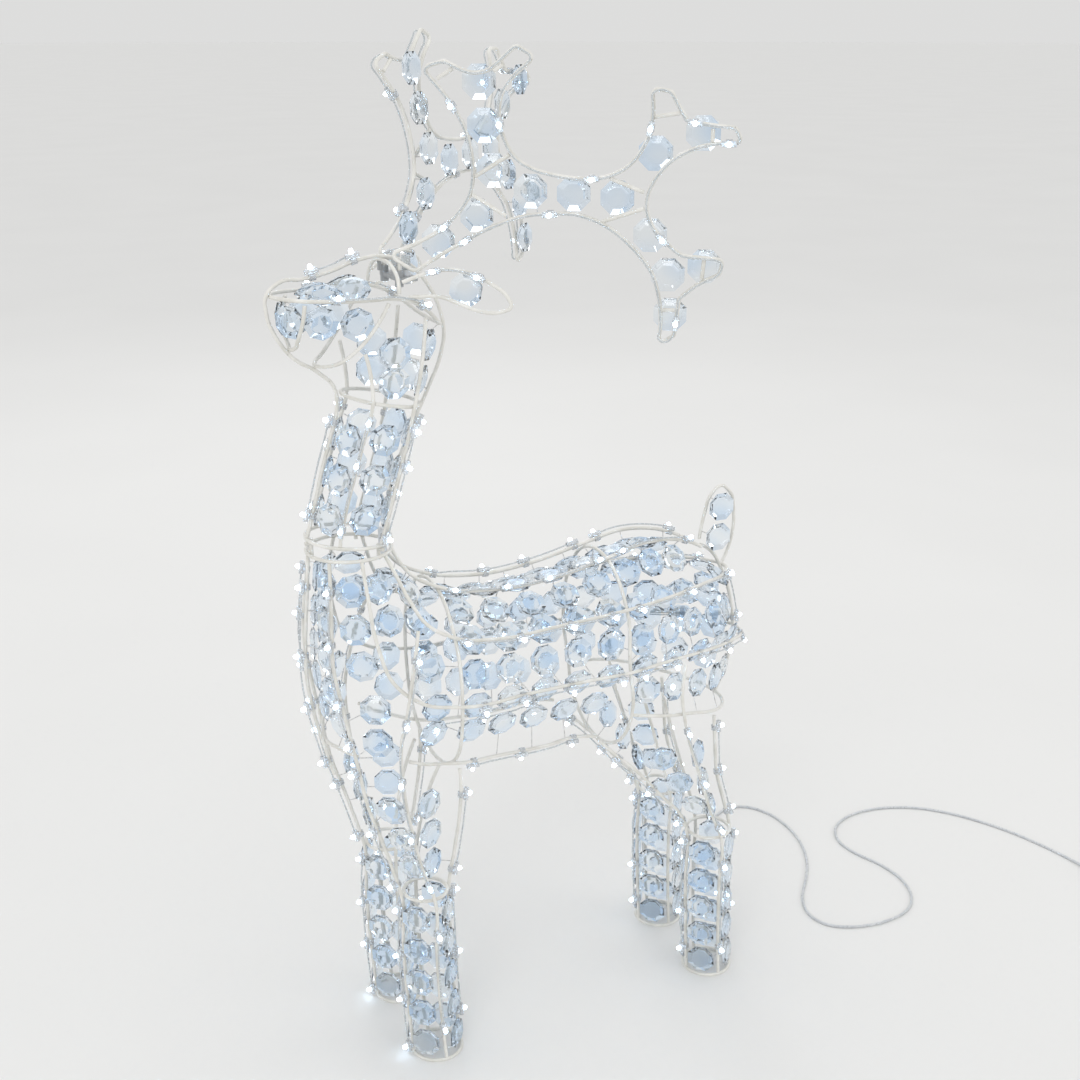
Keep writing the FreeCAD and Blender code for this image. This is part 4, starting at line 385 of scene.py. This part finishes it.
TIE_WIDTH = 3.6 * MM
TIE_THICK = 0.7 * MM
TIE_CORNER = 3.0 * MM
TIE_SLACK = 0.3 * MM
TIE_LIFT = 0.2 * MM
TIE_BOTTOM = 0.85 * MM
TIE_ANGLES = (35, 215)
SKIN_SHARE = 0.42
CORNER_STEPS = 6
BUCKLE_DEEP, BUCKLE_WIDE, BUCKLE_TALL = 3.4 * MM, 5.4 * MM, 5.0 * MM
BUCKLE_PROFILE = ((0.0, 0.80), (0.25, 1.0), (0.75, 1.0), (1.0, 0.72))
TAIL_STEPS = 6
TAIL_REACH = 9 * MM
TAIL_BEND = 2.5 * MM
TAIL_SHARE = 0.9
TAIL_TAPER = 0.3
TAPER_FROM = 4


def strap_section(low_r, high_r, low_z, high_z, corner):
    """A rounded rectangle, as points (radius, height) in order."""
    corners = (
        (high_r - corner, low_z + corner, -90), (high_r - corner, high_z - corner, 0),
        (low_r + corner, high_z - corner, 90), (low_r + corner, low_z + corner, 180),
    )
    points = []
    for centre_r, centre_z, start in corners:
        for step in range(CORNER_STEPS + 1):
            angle = math.radians(start + 90 * step / CORNER_STEPS)
            points.append((
                centre_r + corner * math.cos(angle), centre_z + corner * math.sin(angle),
            ))
    return points


def join_rings(shape, rings):
    """Faces between each ring of points and the one after it."""
    for ring, following in zip(rings, rings[1:]):
        for index in range(len(ring)):
            after = (index + 1) % len(ring)
            shape.faces.new((ring[index], ring[after], following[after], following[index]))


def coil_tie(angle):
    """Builds the strap at that angle round the coil."""
    out = Vector((math.cos(angle), math.sin(angle), 0))
    along = Vector((-math.sin(angle), math.cos(angle), 0))
    middle = Vector((COIL_MIDDLE.x, COIL_MIDDLE.y, 0))
    inner = COIL_RADIUS - COIL_TURNS * COIL_PITCH - LEAD_DIAMETER / 2 - TIE_SLACK
    outer = COIL_RADIUS + LEAD_DIAMETER / 2 + TIE_SLACK
    bottom = TIE_BOTTOM
    top = COIL_MIDDLE.z + (COIL_LAYERS - 1) * COIL_RISE + LEAD_DIAMETER / 2 + TIE_LIFT

    def spot(radius, height, side):
        return middle + out * radius + along * side + Vector((0, 0, height))

    def build(shape):
        rings = []
        for grow, sides in ((0.0, (-0.5, 0.5)), (TIE_THICK, (SKIN_SHARE, -SKIN_SHARE))):
            section = strap_section(
                inner - grow, outer + grow, bottom - grow, top + grow, TIE_CORNER + grow
            )
            for side in sides:
                rings.append([
                    shape.verts.new(spot(radius, height, side * TIE_WIDTH))
                    for radius, height in section
                ])
        join_rings(shape, rings + rings[:1])
        add_buckle(shape, spot, outer + TIE_THICK, (bottom + top) / 2)

    return build


def add_buckle(shape, spot, radius, height):
    """A bevelled buckle outside the strap, and the tail that leaves it upwards."""
    levels = []
    for share, scale in BUCKLE_PROFILE:
        low = height - BUCKLE_TALL / 2 * scale
        high = height + BUCKLE_TALL / 2 * scale
        half = BUCKLE_WIDE / 2 * scale
        corners = ((low, -half), (low, half), (high, half), (high, -half))
        levels.append([
            shape.verts.new(spot(radius + BUCKLE_DEEP * share, level, side))
            for level, side in corners
        ])
    join_rings(shape, levels)
    shape.faces.new(levels[0])
    shape.faces.new(levels[-1])
    tail = []
    for step in range(TAIL_STEPS + 1):
        share = step / TAIL_STEPS
        out = radius + BUCKLE_DEEP * 0.5 + TAIL_BEND * share * share
        level = height + BUCKLE_TALL / 2 * TAIL_SHARE + TAIL_REACH * share
        taper = TAIL_TAPER * max(step - TAPER_FROM, 0)
        half = TIE_WIDTH / 2 * (TAIL_SHARE - taper)
        tail.append([
            shape.verts.new(spot(out + depth, level, side))
            for depth, side in ((0, -half), (0, half), (TIE_THICK, half), (TIE_THICK, -half))
        ])
    join_rings(shape, tail)
    shape.faces.new(tail[0])
    shape.faces.new(tail[-1])


lead = add_lead()
finish_piece(lead, "lead_cable")
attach(lead, "trunk")
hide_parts("lead_cord", "lead_coil")
coil_ties = [
    new_piece("coil_tie_%d" % number, coil_tie(math.radians(angle)), "connector_plastic", "trunk")
    for number, angle in enumerate(TIE_ANGLES, start=1)
]


# Stage: pale floor, soft light from above and both sides

FLOOR_RADIUS = 60.0
FLOOR_SIDES = 96
PALE = (0.80, 0.80, 0.79)
BACKGROUND = (0.725, 0.725, 0.72)
WORLD_LIGHT = 0.9
LIGHTS_AIM = Vector((0, 0, 0.55))
LIGHTS = {
    "key_light": ((-2.2, -2.4, 3.2), 1.6, 26),
    "fill_light": ((2.8, -1.6, 2.2), 2.2, 8),
    "rear_light": ((0.8, 3.0, 2.6), 1.8, 12),
}


def add_floor():
    """A round floor of pale paper, far wider than the view."""
    finish = Finish("floor_paper", PALE, 0.85)
    finish.feed("Base Color", finish.colours(
        finish.noise(0.6, 2), [(0.3, (0.785, 0.785, 0.775)), (0.7, PALE)]
    ))
    finish.bump(finish.noise(0.002, 2), 0.00002)
    mesh = bpy.data.meshes.new("floor")
    shape = bmesh.new()
    rim = []
    for index in range(FLOOR_SIDES):
        angle = ROUND * index / FLOOR_SIDES
        across, along = FLOOR_RADIUS * math.cos(angle), FLOOR_RADIUS * math.sin(angle)
        rim.append(shape.verts.new((across, along, 0)))
    shape.faces.new(rim)
    shape.to_mesh(mesh)
    shape.free()
    floor = bpy.data.objects.new("floor", mesh)
    floor.data.materials.append(finish.material)
    scene.collection.objects.link(floor)


def add_world():
    """Dim for what it lights, pale where the camera, gloss and clear parts see it."""
    world = bpy.data.worlds.new("studio")
    world.use_nodes = True
    tree = world.node_tree
    shown = tree.nodes["Background"]
    shown.inputs["Color"].default_value = (*BACKGROUND, 1)
    shown.inputs["Strength"].default_value = 1.0
    light = tree.nodes.new("ShaderNodeBackground")
    light.inputs["Color"].default_value = (1, 1, 1, 1)
    light.inputs["Strength"].default_value = WORLD_LIGHT
    path = tree.nodes.new("ShaderNodeLightPath")
    seen = path.outputs["Is Camera Ray"]
    for other in ("Is Glossy Ray", "Is Transmission Ray"):
        either = tree.nodes.new("ShaderNodeMath")
        either.operation = "MAXIMUM"
        tree.links.new(seen, either.inputs[0])
        tree.links.new(path.outputs[other], either.inputs[1])
        seen = either.outputs[0]
    mix = tree.nodes.new("ShaderNodeMixShader")
    tree.links.new(seen, mix.inputs["Fac"])
    tree.links.new(light.outputs[0], mix.inputs[1])
    tree.links.new(shown.outputs[0], mix.inputs[2])
    tree.links.new(mix.outputs[0], tree.nodes["World Output"].inputs["Surface"])
    scene.world = world


def add_light(name, place, width, power):
    """A round lamp in metres and watts, turned to the middle of the part."""
    data = bpy.data.lights.new(name, "AREA")
    data.shape = "DISK"
    data.size = width
    data.energy = power
    lamp = bpy.data.objects.new(name, data)
    lamp.location = place
    towards = LIGHTS_AIM - Vector(place)
    lamp.rotation_mode = "QUATERNION"
    lamp.rotation_quaternion = towards.to_track_quat("-Z", "Y")
    scene.collection.objects.link(lamp)


add_floor()
add_world()
for name, (place, width, power) in LIGHTS.items():
    add_light(name, place, width, power)
add_camera()
scene.view_settings.view_transform = "Standard"
